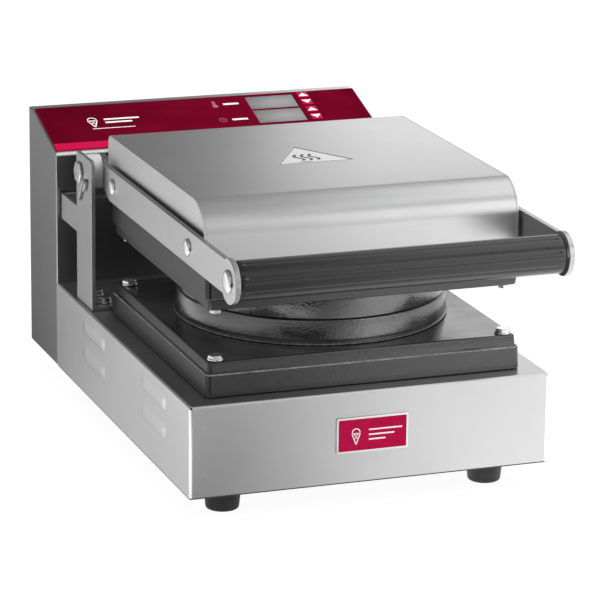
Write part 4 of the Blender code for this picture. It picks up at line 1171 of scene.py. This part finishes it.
def make_cards():
    """What the steel mirrors: a painted ground, screens behind and in front, and a soft ceiling."""
    ground = Paint("ground_card")
    far = ground.along((-0.8, 1, 0), FAR_STOPS)
    front = ground.times(ground.along((1, 0.365, 0), FRONT_STOPS), far)
    left = ground.along((2.739, 1, 0), LEFT_STOPS)
    side = ground.along((-1, 1, 0), [(-93, 0), (7, 1)])
    corner = (-140, -183)
    beside = ground.distance((1, -0.364, 0), corner)
    ahead = ground.math("MAXIMUM", ground.distance((0, -1, 0), corner), MM)
    wedge = [(-1.0, 1), (-0.62, 0.01), (0.40, 0.01), (0.74, 1)]
    dark = ground.ramp(ground.math("DIVIDE", beside, ahead), wedge)
    near = ground.along((0, -1, 0), [(235, 1), (270, 0)], corner)
    dark = ground.math("MAXIMUM", dark, near)
    either = ground.add("Mix", {"Factor": side, "A": front, "B": left}).outputs["Result"]
    ground.add_card(level_card((-3000, 3000), (-3000, 3000), -3), ground.times(either, dark))
    back = Paint("back_card")
    across = back.along((1, 0, 0), BACK_STOPS)
    fade = back.along((0, 0, 1), [(480, 1.0), (640, 0.5)])
    back.add_card(upright_card((-100, 1600), 700, (240, 640)), back.times(across, fade))
    ceiling = Paint("ceiling_card")
    across = ceiling.along((1, 0, 0), CEILING_STOPS)
    fade = ceiling.along((0, 1, 0), [(200, 1.0), (420, 0.6)])
    ceiling.add_card(level_card((-1500, 1500), (-700, 900), 1000), ceiling.times(across, fade))
    fore = Paint("fore_card")
    across = fore.along((1, 0, 0), FORE_STOPS)
    fore.add_card(upright_card((-2000, 2500), -1500, (250, 1300)), across)


def make_world(scene):
    """White to the camera; otherwise a soft sky that is darkest behind and above the machine."""
    white = (1, 1, 1, 1)
    scene.world = bpy.data.worlds.new("studio")
    scene.world.use_nodes = True
    tree = Nodes(scene.world.node_tree)
    place = tree.add("TexCoord", {}).outputs["Generated"]
    parts = tree.add("SeparateXYZ", {0: place}).outputs
    angle = tree.math("ARCTAN2", parts["Z"], parts["Y"])
    lit = tree.nodes["Background"]
    tree.feed(lit, {"Color": white, "Strength": tree.ramp(angle, SKY_STOPS)})
    seen = tree.add("Background", {"Color": white})
    from_camera = tree.add("LightPath", {}).outputs["Is Camera Ray"]
    mix = tree.add("MixShader", {0: from_camera, 1: lit.outputs[0], 2: seen.outputs[0]})
    tree.feed(tree.nodes["World Output"], {"Surface": mix.outputs[0]})


# name: place, size and power; each lamp points at the middle of the machine
LAMPS = {
    "key_right": ((1.5, -1.2, 1.5), (1.2, 1.6), 26),
    "top": ((0.2, 0.1, 2.0), (2.2, 2.2), 26),
    "fill_left": ((-2.0, -0.6, 0.9), (1.2, 1.2), 8),
}


def make_lamps():
    for name, (place, size, power) in LAMPS.items():
        light = bpy.data.lights.new(name, "AREA")
        light.shape = "RECTANGLE"
        light.size, light.size_y = size
        light.energy = power
        lamp = bpy.data.objects.new(name, light)
        lamp.visible_glossy = False
        lamp.location = place
        towards = Vector((0, 0, 0.1)) - lamp.location
        lamp.rotation_euler = towards.to_track_quat("-Z", "Y").to_euler()
        bpy.context.scene.collection.objects.link(lamp)


def make_studio():
    scene = bpy.context.scene
    scene.view_settings.view_transform = "Standard"
    make_world(scene)
    paper = look("floor_paper", (3,), 0.095, 0.105, 0.9, specular=0.0)
    shader = paper.node_tree.nodes["Principled BSDF"]
    shader.inputs["Emission Color"].default_value = (1, 1, 1, 1)
    shader.inputs["Emission Strength"].default_value = 0.95
    bm = bmesh.new()
    bmesh.ops.create_grid(bm, x_segments=1, y_segments=1, size=4.0)
    floor = add_mesh("floor", bm, [paper])
    floor.visible_glossy = False
    make_cards()
    make_lamps()


CAMERA_TARGET = Vector((15.75, 200.0 + FRONT / MM, 102.26)) * MM
CAMERA_DISTANCE = 2.5621
CAMERA_LENS = 196.27


def make_camera():
    """The photo's view, from the left of the front and above, held with a slight roll."""
    azimuth, elevation, roll = math.radians(20.063), math.radians(15.865), math.radians(0.708)
    level = math.cos(elevation)
    forward = Vector((level * math.sin(azimuth), level * math.cos(azimuth), -math.sin(elevation)))
    right = forward.cross(Vector((0, 0, 1))).normalized()
    up = right.cross(forward) * math.cos(roll) - right * math.sin(roll)
    data = bpy.data.cameras.new("camera")
    data.lens = CAMERA_LENS
    data.sensor_width = 36
    data.clip_start = 0.1
    camera = bpy.data.objects.new("camera", data)
    bpy.context.scene.collection.objects.link(camera)
    rotation = Matrix((forward.cross(up), up, -forward)).transposed()
    place = CAMERA_TARGET - forward * CAMERA_DISTANCE
    camera.matrix_world = Matrix.Translation(place) @ rotation.to_4x4()
    bpy.context.scene.camera = camera


def main():
    m = make_materials()
    steps = (make_base, make_badge, make_castings, make_upper_bolts, make_lid_cover, make_arms)
    steps += (make_grip, make_collars, make_springs, make_housing, make_panel_print, make_rear)
    for step in (*steps, finish_nodes):
        step(m)
    make_studio()
    make_camera()


main()
